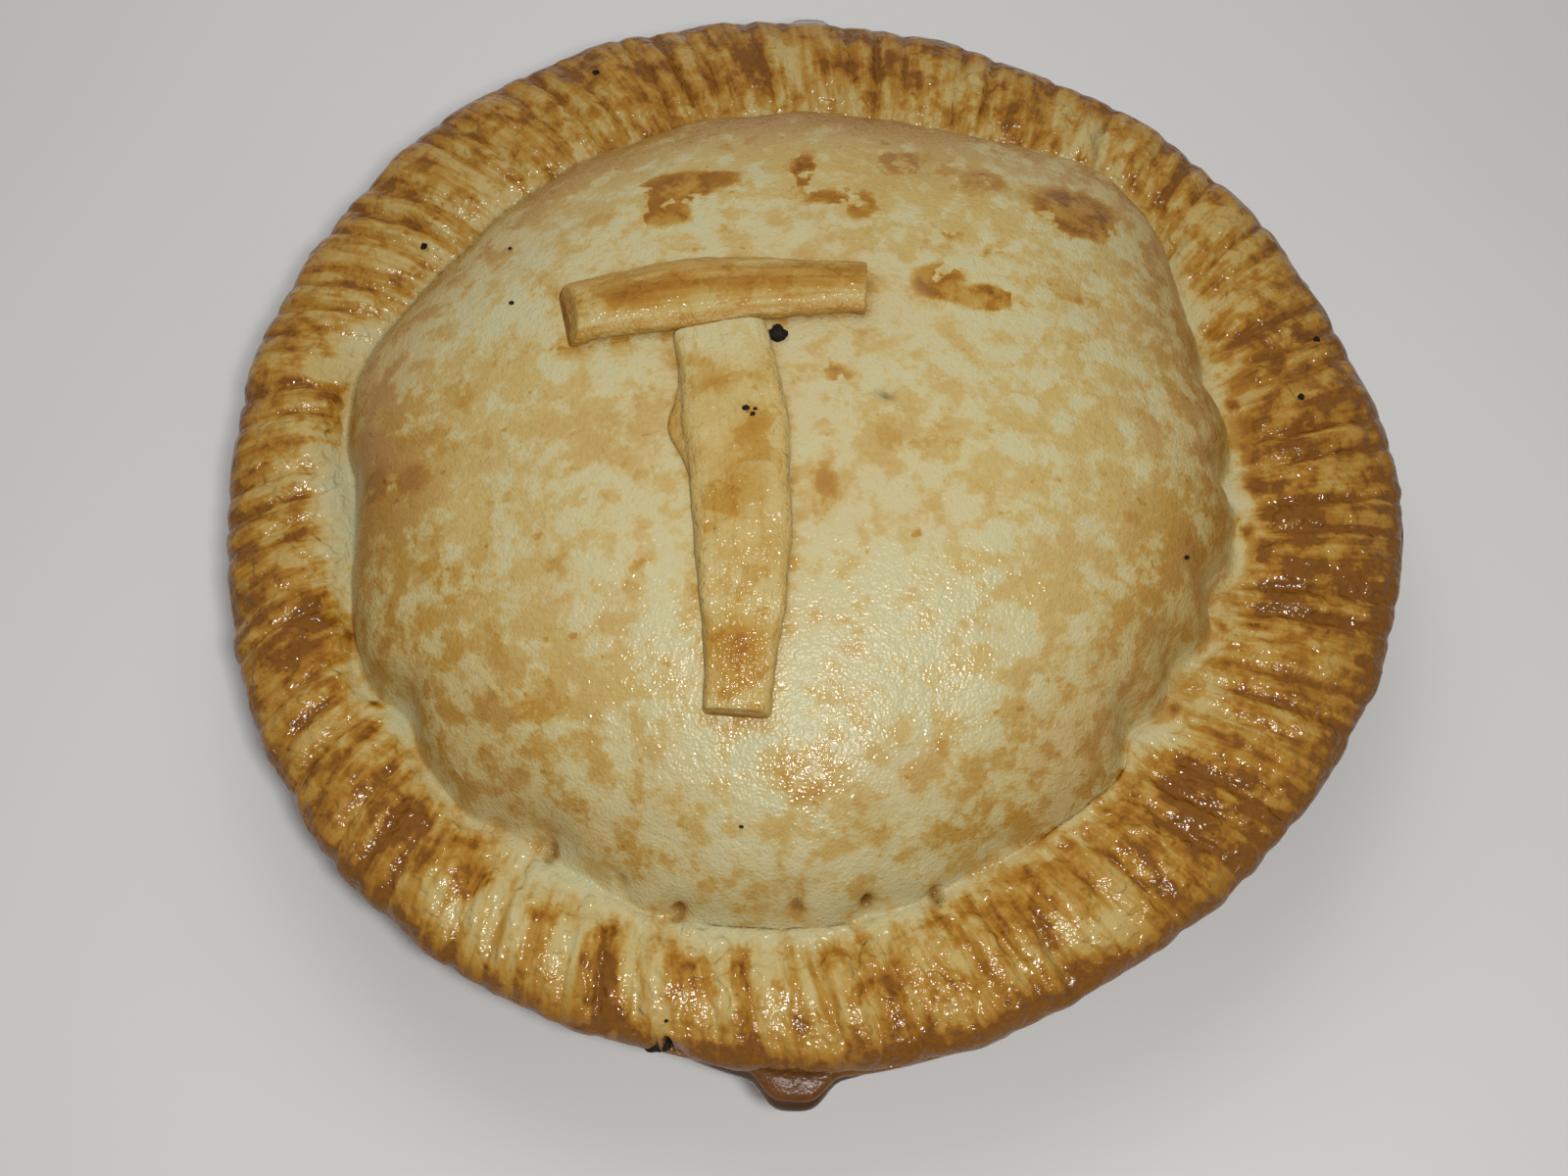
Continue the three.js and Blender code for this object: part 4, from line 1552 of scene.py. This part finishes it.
    def _cracks(self, at: Vertices) -> Array:
        """Cracks across the rim."""
        angle = np.degrees(at.phase)
        wander = self.noise.rough(at.points, self.crack_wander)
        fade_in, fade_out = self.crack_fades
        cracks = np.zeros(len(angle))
        for crack in self.bake.cracks:
            rise = (crack.start, crack.start + fade_in)
            fall = (crack.end - fade_out, crack.end + fade_out)
            across = self._along_rim(angle, crack.angle) + wander
            cracks = np.maximum(cracks, window(at.place, rise, fall) * hump(across, self.crack_half_width))
        return cracks

    def _chip(self, at: Vertices) -> Array:
        """Ragged chip in the edge, painted black: burnt at its edges, and painted shade in its gap."""
        along = self._along_rim(np.degrees(at.phase), self.bake.chip_angle)
        teeth = sum(height * np.cos(along * pitch + start) for height, pitch, start in self.chip_teeth)
        reach = window(at.place, self.chip_rise, self.chip_fall)
        return reach * np.clip(teeth, 0, 1) * hump(along, self.chip_half_width)

    def _vent(self, at: Vertices) -> Array:
        """A short slit in the dome."""
        x, y = at.points[:, 0] - self.bake.vent[0], at.points[:, 1] - self.bake.vent[1]
        cosine, sine = self.vent_turn
        width, length = self.vent_size
        return hump(cosine * x + sine * y, width) * hump(sine * x - cosine * y, length)


@dataclass(frozen=True)
class CrustBrowning:
    """How brown, washed, freckled and glossy the crust is at each vertex."""

    shape: PieShape
    bake: CrustBake
    strips: Sequence[StripPlan]
    noise: LatticeNoise
    rim_start: Span = (-0.04, 0.02)
    spot_place: float = 0.5
    spot_bake: float = 0.6
    spot_wash: float = 1.6
    spot_freckles: float = 1.5
    glow_bake: float = 0.25
    glow_freckles: float = 4
    pale_front: Swell = Swell(5, -80, 0.05, 30)
    glue_wash_and_shade: float = 0.16
    # Partly egg wash pooled along the strips, partly painted shade where they meet the lid.
    glue_reach: float = 1.6
    # Partly the dome's golden shoulder, partly painted shade at the crease and on its steep edges.
    shoulder_bake_and_shade: float = 0.27
    shoulder_start: Span = (-0.3, -0.04)
    shoulder_gap: Lobes = each(Lobe, (268, 45, 0.6))
    lap_bake: float = 0.12
    lap_rise: Span = (1.32, 1.45)
    lap_fall: Span = (1.7, 1.9)
    lap_juice: float = 0.55
    bead_bake: float = 0.84
    wash_start: Span = (-0.02, 0.05)
    rim_wash: float = 0.3
    rim_wash_noise: Octaves = each(Octave, (0.4, 15, 88))
    rim_wash_end: Span = (0.95, 1.15)
    pooled_wash: float = 0.34
    pool_noise: Octaves = each(Octave, (1, 11, 610))
    freckle_start: Span = (-0.03, 0.05)
    freckle_end: Span = (1.0, 1.3)
    dome_freckles: float = 0.18
    dome_freckle_limits: Span = (0, 0.7)
    rim_freckles: float = 0.1
    rim_freckle_limits: Span = (-0.6, 0.3)
    gloss_start: Span = (0.0, 0.16)
    gloss_end: Span = (0.9, 1.1)
    gloss_loss: float = 0.75

    def layers(self, at: Vertices, bead: Array) -> dict[Layer, Array]:
        """Layers for the finish.

        Args:
            at: The vertices.
            bead: How strongly beads of juice show at them.

        Returns:
            The values of each layer.
        """
        return {
            Layer.RIM: np.maximum(self._gloss(at), bead),
            Layer.BAKE: np.maximum(self._level(at), self.bead_bake * bead),
            Layer.WASH: self._wash(at),
            Layer.FRECKLE: self._freckles(at),
            Layer.JUICE: np.maximum(bead, self.lap_juice * self._lapped(at)),
        }

    def _gloss(self, at: Vertices) -> Array:
        """Gloss of the rim, from 0 to 1."""
        gloss = smoothstep(at.place, *self.gloss_start)
        return gloss * (1 - self.gloss_loss * smoothstep(at.place, *self.gloss_end))

    def _spots(self, at: Vertices) -> Array:
        """Change of the rim's bake from its spots."""
        return self.bake.spot_change(np.degrees(self.shape.leaning(at.phase, self.spot_place)), at.place)

    def _level(self, at: Vertices) -> Array:
        """Browning, raw (0) to burnt (1), before the finish's mottle; with painted shade by the crease and
        strips.
        """
        on_rim = smoothstep(at.place, *self.rim_start)
        level = np.interp(at.place, *zip(*self.bake.profile))
        level += self.spot_bake * on_rim * self._spots(at)
        level += self.lap_bake * self._lapped(at)
        golden = self.glow_bake * self.bake.glow(at.points)
        pale = swells(at.points[:, 0], at.points[:, 1], [self.pale_front])
        # Beside the strips the lid is browner: partly pooled egg wash, partly painted shade where they meet
        # it.
        beside = np.min([strip.away(at.points[:, :2]) for strip in self.strips], axis=0)
        glued = self.glue_wash_and_shade * hump(np.maximum(beside, 0), self.glue_reach)
        # The dome's foot is browner, less so at the front: partly real browning, partly painted shade at the
        # crease.
        shoulder = smoothstep(at.place, *self.shoulder_start)
        shoulder *= 1 - lobes(self.shape.leaning(at.phase, self.spot_place), self.shoulder_gap)
        return level + (1 - on_rim) * (golden - pale + glued + self.shoulder_bake_and_shade * shoulder)

    def _wash(self, at: Vertices) -> Array:
        """Density of the egg wash: in patches on the dome, and pooled in the fork marks of the rim."""
        uneven = self.noise.rough(at.points, self.rim_wash_noise)
        pooled = self.pooled_wash * self.shape.crimp_groove(at.phase, at.place)
        pooled *= 1 + self.noise.rough(at.points, self.pool_noise)
        rim = self.rim_wash + uneven + pooled + self.spot_wash * self._spots(at)
        rim *= 1 - smoothstep(at.place, *self.rim_wash_end)
        return np.clip(lerp(self.bake.wash(at.points), rim, smoothstep(at.place, *self.wash_start)), 0, 1)

    def _lapped(self, at: Vertices) -> Array:
        """Share of juice on the bottom crust where it laps out over the plate."""
        share = lobes(self.shape.leaning(at.phase, 1), self.bake.laps)
        return share * window(at.place, self.lap_rise, self.lap_fall)

    def _freckles(self, at: Vertices) -> Array:
        """How strongly the crust is freckled."""
        dome = self.dome_freckles + self.glow_freckles * self.bake.glow(at.points)
        rim = self.rim_freckles + self.spot_freckles * self._spots(at)
        dome = np.clip(dome, *self.dome_freckle_limits)
        rim = np.clip(rim, *self.rim_freckle_limits)
        freckles = lerp(dome, rim, smoothstep(at.place, *self.freckle_start))
        return freckles * (1 - smoothstep(at.place, *self.freckle_end))


@dataclass
class PieCrust:
    """The whole pie as one closed mesh: dome, crease, rim, edge and the base in the plate."""

    shape: PieShape
    plate: PlateShape
    bake: CrustBake
    strips: Sequence[StripPlan]
    noise: LatticeNoise
    lid_place: float = -0.5
    crease_fill: float = 2.8
    crease_spread: float = 1.8
    spread_reach: float = 3.5

    def __post_init__(self) -> None:
        """Makes the parts that the crust is worked out by."""
        self.rings = CrustRings(self.shape, self.plate, self.bake.laps)
        self.relief = CrustRelief(self.shape, self.noise)
        self.marks = CrustMarks(self.shape, self.bake, self.noise)
        self.browning = CrustBrowning(self.shape, self.bake, self.strips, self.noise)

    def build(self, material: Material) -> Piece:
        """Makes the pie.

        Args:
            material: The crust's finish.

        Returns:
            The piece that stands for the CAD's pie.
        """
        skin = self.rings.skin()
        mesh = skin.mesh("pie")
        at = Vertices(skin.points, skin.phase, skin.place)
        marks = self.marks.find(at)
        move_vertices(mesh, self._moved(at, marks, vertex_normals(mesh)))
        layers = self.browning.layers(at, marks.bead)
        layers[Layer.GROOVE] = self.marks.tint(at, marks)
        layers[Layer.BURN_AND_SHADE] = self.marks.char(marks)
        layers[Layer.STREAK] = self.shape.streaks(at.phase, at.place) * MM
        keep_layers(mesh, layers)
        return add_piece("pie_crust", mesh, material, ["pie"])

    def lid_height(self, x: Array, y: Array) -> Array:
        """Height of the finished dome, without its finest relief."""
        height = self.shape.dome_height(x, y)
        points = np.stack([x, y, height], axis=-1)
        return height + self.relief.lumps(points, np.full(len(points), self.lid_place))

    def _moved(self, at: Vertices, marks: Marks, normals: Array) -> Array:
        """Points of the vertices after their relief, with the crease moved outward and filled."""
        lumpy = self.relief.lumps(at.points, at.place) + self.relief.rim(at)
        moved = at.points + normals * self.marks.pressed(lumpy, marks)[:, None]
        shift = self.relief.wander(at) - self.marks.chip_depth * marks.chip
        shift += self.crease_spread * self.relief.filled(at, self.spread_reach)
        outward = 1 + shift / np.maximum(1, np.hypot(at.points[:, 0], at.points[:, 1]))
        moved[:, :2] *= outward[:, None]
        moved[:, 2] += self.crease_fill * self.relief.filled(at, self.crease_fill)
        return moved


@dataclass(frozen=True)
class StripSpot:
    """A place on a strip that is browner, or with a negative change paler, than the rest."""

    along: float
    across: float
    half_along: float
    half_across: float
    change: float


@dataclass
class PastryStrip:
    """A strip of rolled pastry laid on the lid."""

    node: str
    plan: StripPlan
    spots: tuple[StripSpot, ...]
    crust: PieCrust
    base_level: float = 0.4
    brushed: float = 1.0
    flap: float = 0.0
    flap_place: float = 0.27
    thickness: float = 4.5
    sink: float = 0.25
    stations: int = 130
    bevel: float = 0.7
    corner_height: float = 0.93
    crown: float = 1.03
    rounding: int = 3
    closing: tuple[Span, ...] = ((0.35, 0.99), (0.08, 0.96), (0.0, 0.9), (0.0, 0.6), (0.0, 0.25))
    end_middle: float = 0.45
    flap_length: float = 0.09
    sides: Span = (0.3, 0.5)
    lower: Span = (0.25, 0.5)
    upper: Span = (0.5, 1)
    ragged: Octaves = each(Octave, (0.35, 6, 611), (0.18, 2.6, 90))
    lift: Octaves = each(Octave, (0.3, 7, 411), (0.12, 2.8, 19))
    cut_start: Span = (0.9, 0.97)
    side_start: Span = (0.78, 0.95)
    foot_start: Span = (0.05, 0.5)
    edge_start: Span = (0.7, 0.9)
    edge_lines: Span = (0.47, 0.05)
    side_bake: float = 0.06
    # Partly egg wash pooled at the strip's foot, partly painted shade where it meets the lid.
    foot_wash_and_shade: float = 0.24
    cut_bake: float = 0.05
    edge_bake: float = 0.05
    spot_side_loss: float = 0.6
    wash: float = 0.4
    streak_stretch: float = 0.1

    def _outline(self) -> Array:
        """Cross-section with its corners rounded off, as rows of place across and height."""
        lower = [(0.18, 0.0), (0.5, 0.0), (0.53, 0.5)]
        upper = [(0.45, self.corner_height), (0.16, self.crown)]
        half = np.array(lower + upper)
        corners = np.vstack([half, half[::-1] * (-1, 1)])
        for _ in range(self.rounding):
            after = np.roll(corners, -1, axis=0)
            cut = np.stack([0.75 * corners + 0.25 * after, 0.25 * corners + 0.75 * after], axis=1)
            corners = cut.reshape(-1, 2)
        return corners

    def build(self, material: Material) -> Piece:
        """Makes the strip.

        Args:
            material: The strip's finish.

        Returns:
            The piece that stands for the CAD's strip.
        """
        outline = self._outline()
        bevel = self.bevel / self._length()
        body = np.linspace(bevel, 1 - bevel, self.stations)
        head = [(bevel * off, scale) for off, scale in reversed(self.closing)]
        tail = [(1 - bevel * off, scale) for off, scale in self.closing]
        rows = [*head, *((along, 1.0) for along in body), *tail]
        points = np.vstack([self._row(outline, along, scale) for along, scale in rows])
        count = len(outline)
        faces = self._faces(len(rows), count)
        points = np.vstack([points, points[:count].mean(0), points[-count:].mean(0)])
        mesh = new_mesh(self.node, points, faces)
        flip_outward(mesh)
        along = np.repeat([row[0] for row in rows], count)
        scale = np.repeat([row[1] for row in rows], count)
        across, height = np.tile(outline, (len(rows), 1)).T
        self._keep_layers(mesh, np.stack([along, across * scale, height, scale], axis=1))
        return add_piece(self.node + "_baked", mesh, material, [self.node])

    def _row(self, outline: Array, along: float, scale: float) -> Array:
        """Points of one cross-section, drawn together towards its middle by a scale."""
        across = self.plan.centre(along)[1]
        offsets = outline[:, 0] * scale * self.plan.width(along)
        low = smoothstep(outline[:, 0], *self.sides) * (1 - smoothstep(outline[:, 1], *self.lower))
        offsets = offsets + self.flap * low * hump(along - self.flap_place, self.flap_length)
        shares = lerp(self.end_middle, outline[:, 1], scale)
        heights = shares * self.thickness
        plan = self.plan.places(along, offsets, shares)
        place = np.column_stack([plan, heights])
        noise = self.crust.noise
        outer = np.sign(offsets) * smoothstep(np.abs(outline[:, 0]), *self.sides)
        plan = plan + (noise.rough(place, self.ragged) * outer)[:, None] * across
        heights = heights + noise.rough(place, self.lift) * smoothstep(outline[:, 1], *self.upper)
        base = self.crust.lid_height(plan[:, 0], plan[:, 1])
        return np.column_stack([plan, base - self.sink + heights])

    def _length(self) -> float:
        """Length from end to end."""
        return float(np.linalg.norm(np.subtract(self.plan.line[2], self.plan.line[0])))

    @staticmethod
    def _faces(rows: int, count: int) -> list[list[int]]:
        """Faces of a tube of cross-sections with closed ends."""
        first = np.arange(count)
        after = np.roll(first, -1)
        faces = []
        for row in range(rows - 1):
            low, high = row * count, (row + 1) * count
            faces += np.stack([first + low, after + low, after + high, first + high], 1).tolist()
        head, tail = rows * count, rows * count + 1
        last = (rows - 1) * count
        faces += [[head, int(b), int(a)] for a, b in zip(first, after)]
        faces += [[tail, int(a) + last, int(b) + last] for a, b in zip(first, after)]
        return faces

    def _keep_layers(self, mesh: Mesh, rows: Array) -> None:
        """Keeps the strip's browning, given rows of along, across, height and scale without the two ends."""
        ends = np.array([[0.0, 0.0, 0.5, 0.0], [1.0, 0.0, 0.5, 0.0]])
        along, across, height, scale = np.vstack([rows, ends]).T
        cut = 1 - smoothstep(scale, *self.cut_start)
        side = np.maximum(1 - smoothstep(height, *self.side_start), cut)
        foot = 1 - smoothstep(height, *self.foot_start)
        # The foot is browner: partly pooled egg wash, partly painted shade where the strip meets the lid.
        level = self.base_level + self.side_bake * side + self.foot_wash_and_shade * foot + self.cut_bake * cut
        line, half_width = self.edge_lines
        edge = hump(np.abs(across) - line, half_width) * smoothstep(height, *self.edge_start)
        level += self.edge_bake * edge
        for spot in self.spots:
            weight = hump(along - spot.along, spot.half_along) * hump(across - spot.across, spot.half_across)
            level += spot.change * weight * (1 - self.spot_side_loss * side)
        length = along * self._length() * self.streak_stretch
        streaks = np.stack([length, across * self.plan.width(0.5), height * self.thickness], axis=1)
        layers = {
            Layer.BAKE: level,
            Layer.RIM: side,
            Layer.WASH: self.wash * (1 - side),
            Layer.FRECKLE: np.full(len(side), self.brushed),
            Layer.STREAK: streaks * MM,
        }
        keep_layers(mesh, layers)


def flip_outward(mesh: Mesh) -> None:
    """Turns all faces of a closed mesh outward."""
    work = bmesh.new()
    work.from_mesh(mesh)
    bmesh.ops.recalc_face_normals(work, faces=work.faces)
    work.to_mesh(mesh)
    work.free()
    mesh.update()


@dataclass(frozen=True)
class Crumb:
    """A burnt crumb by its place in plan and its radius, on the lid unless its height is given."""

    x: float
    y: float
    radius: float
    height: float | None = None


@dataclass
class BurntCrumbs:
    """Small burnt crumbs stuck on the crust; those in the chip stand partly for painted shade in its gap."""

    noise: LatticeNoise
    crumbs: tuple[Crumb, ...] = each(
        Crumb,
        (-5.4, 9.8, 1.8), (-11.4, -9.4, 0.62), (-9.6, -9.5, 0.4), (-10.1, -10.7, 0.45),
        # These crumbs, with their heights given, lie in the chip: partly burnt pastry, partly painted shade
        # in its gap.
        (-30.4, -120.4, 1.3, 42.4), (-28.4, -121.4, 1.7, 42.0), (-26.3, -121.8, 1.2, 42.2),
        (-25.9, -118.2, 0.38), (-60, 22, 0.55), (-62, 39, 0.4), (-12, -86, 0.35), (76, -30, 0.6),
        (-86, 56, 0.8), (-49, 105, 0.7), (114, 31, 0.7), (108, 15, 0.7),
    )
    bumps: Octaves = each(Octave, (0.38, 0.8, 5), (0.2, 0.35, 9))
    stretch: Triple = (1.1, 0.95, 0.6)
    lift: float = 0.3

    def build(self, material: Material, carriers: Sequence[Piece]) -> Piece:
        """Makes the crumbs as one piece.

        Args:
            material: The crumbs' finish.
            carriers: Pieces that the crumbs lie on.

        Returns:
            The new piece.
        """
        trees = [self._tree(carrier) for carrier in carriers]
        joined = bmesh.new()
        for k, crumb in enumerate(self.crumbs):
            top = crumb.height or max(self._height(tree, crumb) for tree in trees)
            self._add(joined, crumb, top, k)
        mesh = bpy.data.meshes.new("burnt_crumbs")
        joined.to_mesh(mesh)
        joined.free()
        mesh.polygons.foreach_set("use_smooth", [True] * len(mesh.polygons))
        return add_piece("burnt_crumbs", mesh, material)

    @staticmethod
    def _tree(carrier: Piece) -> BVHTree:
        """Search tree of a piece's mesh."""
        mesh = carrier.data
        return BVHTree.FromPolygons([v.co for v in mesh.vertices], [p.vertices for p in mesh.polygons])

    @staticmethod
    def _height(tree: BVHTree, crumb: Crumb) -> float:
        """Height in millimetres of a piece's top under a crumb, or 0 beside the piece."""
        hit = tree.ray_cast(Vector((crumb.x * MM, crumb.y * MM, 1.0)), Vector((0, 0, -1)))
        return hit[0].z / MM if hit[0] is not None else 0.0

    def _add(self, joined: bmesh.types.BMesh, crumb: Crumb, top: float, index: int) -> None:
        """Adds one lump to the crumbs' mesh; its number shifts the noise."""
        made = bmesh.ops.create_icosphere(joined, subdivisions=3, radius=1.0)
        points = np.array([vertex.co[:] for vertex in made["verts"]])
        rough = np.ones(len(points))
        for bump in self.bumps:
            rough += bump.height * self.noise.at(points + bump.shift * index, bump.size)
        lump = points * rough[:, None] * crumb.radius * self.stretch
        lump = lump + (crumb.x, crumb.y, top + self.lift * crumb.radius)
        for vertex, place in zip(made["verts"], lump):
            vertex.co = place * MM


@dataclass
class GlassPlate:
    """The clear glass pie plate."""

    shape: PlateShape
    fine_count: int = 720
    edge_steps: int = 10
    flat_parts: Parts = ((0.12, 8), (0.45, 4), (0.8, 2))
    flange_shares: Span = (0.35, 0.7)
    butter: Lobes = each(Lobe, (271, 9, 1.0), (350, 14, 0.5))
    butter_start: Span = (114, 122)

    def build(self, material: Material) -> Piece:
        """Makes the plate.

        Args:
            material: The glass.

        Returns:
            The piece that stands for the CAD's dish.
        """
        shape = self.shape
        skin = RingSkin()
        inside = shape.hollow(0)[::-1]
        floor = inside[0]
        skin.add(np.array([0, 0, floor[1]]), 0)
        for share, parts in self.flat_parts:
            skin.add(polar(skin.phases(self.fine_count // parts), share * floor[0], floor[1]), 0.1)
        phase = skin.phases(self.fine_count)
        for radius, height in inside:
            skin.add(polar(phase, radius, height), 0.3)
        self._add_flange(skin, phase, inside[-1, 0])
        outside = shape.outside()[::-1]
        for radius, height in outside:
            skin.add(polar(phase, radius, height), 0.8)
        for share, parts in reversed(self.flat_parts):
            skin.add(polar(skin.phases(self.fine_count // parts), share * outside[-1, 0], 0), 0.9)
        skin.add(np.array([0.0, 0, 0]), 1)
        mesh = skin.mesh("dish")
        keep_layers(mesh, {Layer.WASH: self._baked_on(skin.points)})
        return add_piece("glass_plate", mesh, material, ["dish"])

    def _baked_on(self, points: Array) -> Array:
        """Share of baked-on butter, thickest on the front handle."""
        share = lobes(np.arctan2(points[:, 1], points[:, 0]), self.butter)
        outer = smoothstep(np.hypot(points[:, 0], points[:, 1]), *self.butter_start)
        return np.clip(share, 0, 1) * outer

    def _add_flange(self, skin: RingSkin, phase: Array, mouth: float) -> None:
        """Adds the flange from its mouth round its half-round edge, handles included."""
        shape = self.shape
        half = shape.glass / 2
        edge = shape.flange(phase) - half
        for share in self.flange_shares:
            skin.add(polar(phase, lerp(mouth, edge, share), shape.height), 0.5)
        for turn in np.linspace(np.pi / 2, -np.pi / 2, self.edge_steps):
            height = shape.height - half + half * math.sin(turn)
            skin.add(polar(phase, edge + half * math.cos(turn), height), 0.6)
        under = shape.height - shape.glass
        root = shape.outside()[-1, 0]
        skin.add(polar(phase, lerp(edge, root, 0.5), under), 0.7)


@dataclass(frozen=True)
class SoftBox:
    """A square studio light, placed in metres and aimed at the pie, that may show in glossy surfaces."""

    name: str
    place: Triple
    size: float
    power: float
    mirrored: bool


@dataclass
class Studio:
    """Pale floor, soft light and the camera."""

    elevation: float = 65.346
    distance: float = 366.94
    target: Triple = (-4.096, -27.101, 42.0)
    lens: float = 40.0
    sensor: float = 36.0
    nearest: float = 0.01
    floor_size: float = 6.0
    floor_gap: float = 0.1
    aim: Triple = (0, 0, 0.05)
    sky: Colour = (0.95, 0.97, 1.0)
    sky_strength: float = 0.22
    lights: tuple[SoftBox, ...] = (
        SoftBox("key", (-0.04, 0.1, 0.5), 0.22, 0.29, False),
        SoftBox("sparkle", (0.03, -0.2, 0.41), 0.035, 0.88, True),
        SoftBox("back", (-0.1, 0.65, 0.6), 0.8, 2.0, False),
    )

    def build(self, floor: Material) -> None:
        """Sets up the floor, the lights, the sky and the camera."""
        self._add_floor(floor)
        for light in self.lights:
            self._add_light(light)
        self._add_sky()
        self._add_camera()
        bpy.context.scene.view_settings.view_transform = "Standard"
        log.info("studio: %d lights", len(self.lights))

    def _add_floor(self, material: Material) -> None:
        """Adds the floor just under the plate."""
        half = self.floor_size / 2
        corners = [(-half, -half, 0), (half, -half, 0), (half, half, 0), (-half, half, 0)]
        mesh = bpy.data.meshes.new("floor")
        mesh.from_pydata(corners, [], [(0, 1, 2, 3)])
        mesh.materials.append(material)
        floor = bpy.data.objects.new("floor", mesh)
        floor.location.z = -self.floor_gap * MM
        bpy.context.scene.collection.objects.link(floor)

    def _add_light(self, light: SoftBox) -> None:
        """Adds one light."""
        data = bpy.data.lights.new(light.name, "AREA")
        data.shape = "SQUARE"
        data.size = light.size
        data.energy = light.power
        lamp = bpy.data.objects.new(light.name, data)
        lamp.location = light.place
        lamp.visible_glossy = light.mirrored
        aim = Vector(self.aim) - lamp.location
        lamp.rotation_euler = aim.to_track_quat("-Z", "Y").to_euler()
        bpy.context.scene.collection.objects.link(lamp)

    def _add_sky(self) -> None:
        """Adds the even light from all round."""
        world = bpy.data.worlds.new("studio")
        world.use_nodes = True
        background = world.node_tree.nodes["Background"]
        background.inputs["Color"].default_value = (*self.sky, 1.0)
        background.inputs["Strength"].default_value = self.sky_strength
        bpy.context.scene.world = world

    def _add_camera(self) -> None:
        """Adds the camera in front of and above the pie."""
        data = bpy.data.cameras.new("camera")
        data.lens = self.lens
        data.sensor_width = self.sensor
        data.clip_start = self.nearest
        tilt = math.radians(self.elevation)
        back = Vector((0, -math.cos(tilt), math.sin(tilt)))
        camera = bpy.data.objects.new("camera", data)
        camera.matrix_world = Matrix.Translation((Vector(self.target) + back * self.distance) * MM) @ (
            back.to_track_quat("Z", "Y").to_matrix().to_4x4()
        )
        bpy.context.scene.collection.objects.link(camera)
        bpy.context.scene.camera = camera


CROSSBAR = StripPlan(
    line=((-48.7, 15.2), (-19.5, 21.9), (12.4, 20.5)),
    widths=((0, 13.8), (0.45, 16), (1, 11.4)),
    slant=0,
    lean=3.1,
)
UPRIGHT = StripPlan(
    line=((-16.8, 10.6), (-9.4, -28), (-12.9, -67.8)),
    widths=((0, 17.8), (0.28, 19.6), (0.55, 17.9), (1, 12)),
    slant=-1.2,
    lean=0.5,
)


def make_strips(crust: PieCrust) -> list[PastryStrip]:
    """The two strips on the lid: one across and one down from its middle."""
    crossbar = PastryStrip(
        node="crossbar_strip",
        plan=CROSSBAR,
        spots=each(
            StripSpot,
            (0.25, 0.06, 0.17, 0.2, 0.2), (0.4, -0.06, 0.1, 0.16, 0.14), (0.86, -0.1, 0.12, 0.24, 0.16),
            (0.62, 0.0, 0.1, 0.14, 0.08), (0.68, -0.42, 0.09, 0.1, -0.14), (0.5, 0.38, 0.6, 0.13, -0.13),
            (0.06, 0.2, 0.05, 0.3, -0.12),
        ),
        crust=crust,
        base_level=0.44,
        corner_height=0.78,
        crown=1.08,
    )
    upright = PastryStrip(
        node="upright_strip",
        plan=UPRIGHT,
        spots=each(
            StripSpot,
            (0.0, 0.0, 0.12, 0.8, -0.17), (0.1, 0.26, 0.03, 0.16, 0.14), (0.19, 0.1, 0.028, 0.14, 0.18),
            (0.17, -0.27, 0.022, 0.12, 0.14), (0.3, -0.18, 0.04, 0.2, 0.14),
            (0.43, 0.12, 0.07, 0.26, 0.17), (0.5, -0.1, 0.08, 0.3, 0.08), (0.66, 0.0, 0.1, 0.5, 0.04),
            (0.87, 0.04, 0.07, 0.36, 0.27),
        ),
        crust=crust,
        base_level=0.33,
        brushed=0.35,
        flap=3.0,
    )
    return [crossbar, upright]


def main() -> None:
    """Builds the pie, its strips, its crumbs, its plate and the studio, in that order."""
    logging.basicConfig(level=logging.INFO, format="%(name)s: %(message)s")
    effects = SharedEffects()
    noise = LatticeNoise(seed=24)
    plate_shape = PlateShape()
    crust = PieCrust(PieShape(), plate_shape, CrustBake(), (CROSSBAR, UPRIGHT), noise)
    pie = crust.build(CrustFinish().make(effects))
    strip_finish = StripFinish().make(effects)
    strips = [strip.build(strip_finish) for strip in make_strips(crust)]
    BurntCrumbs(noise).build(CharFinish().make(), [pie, *strips])
    GlassPlate(plate_shape).build(GlassFinish().make())
    Studio().build(FloorFinish().make())


if __name__ == "__main__":
    main()
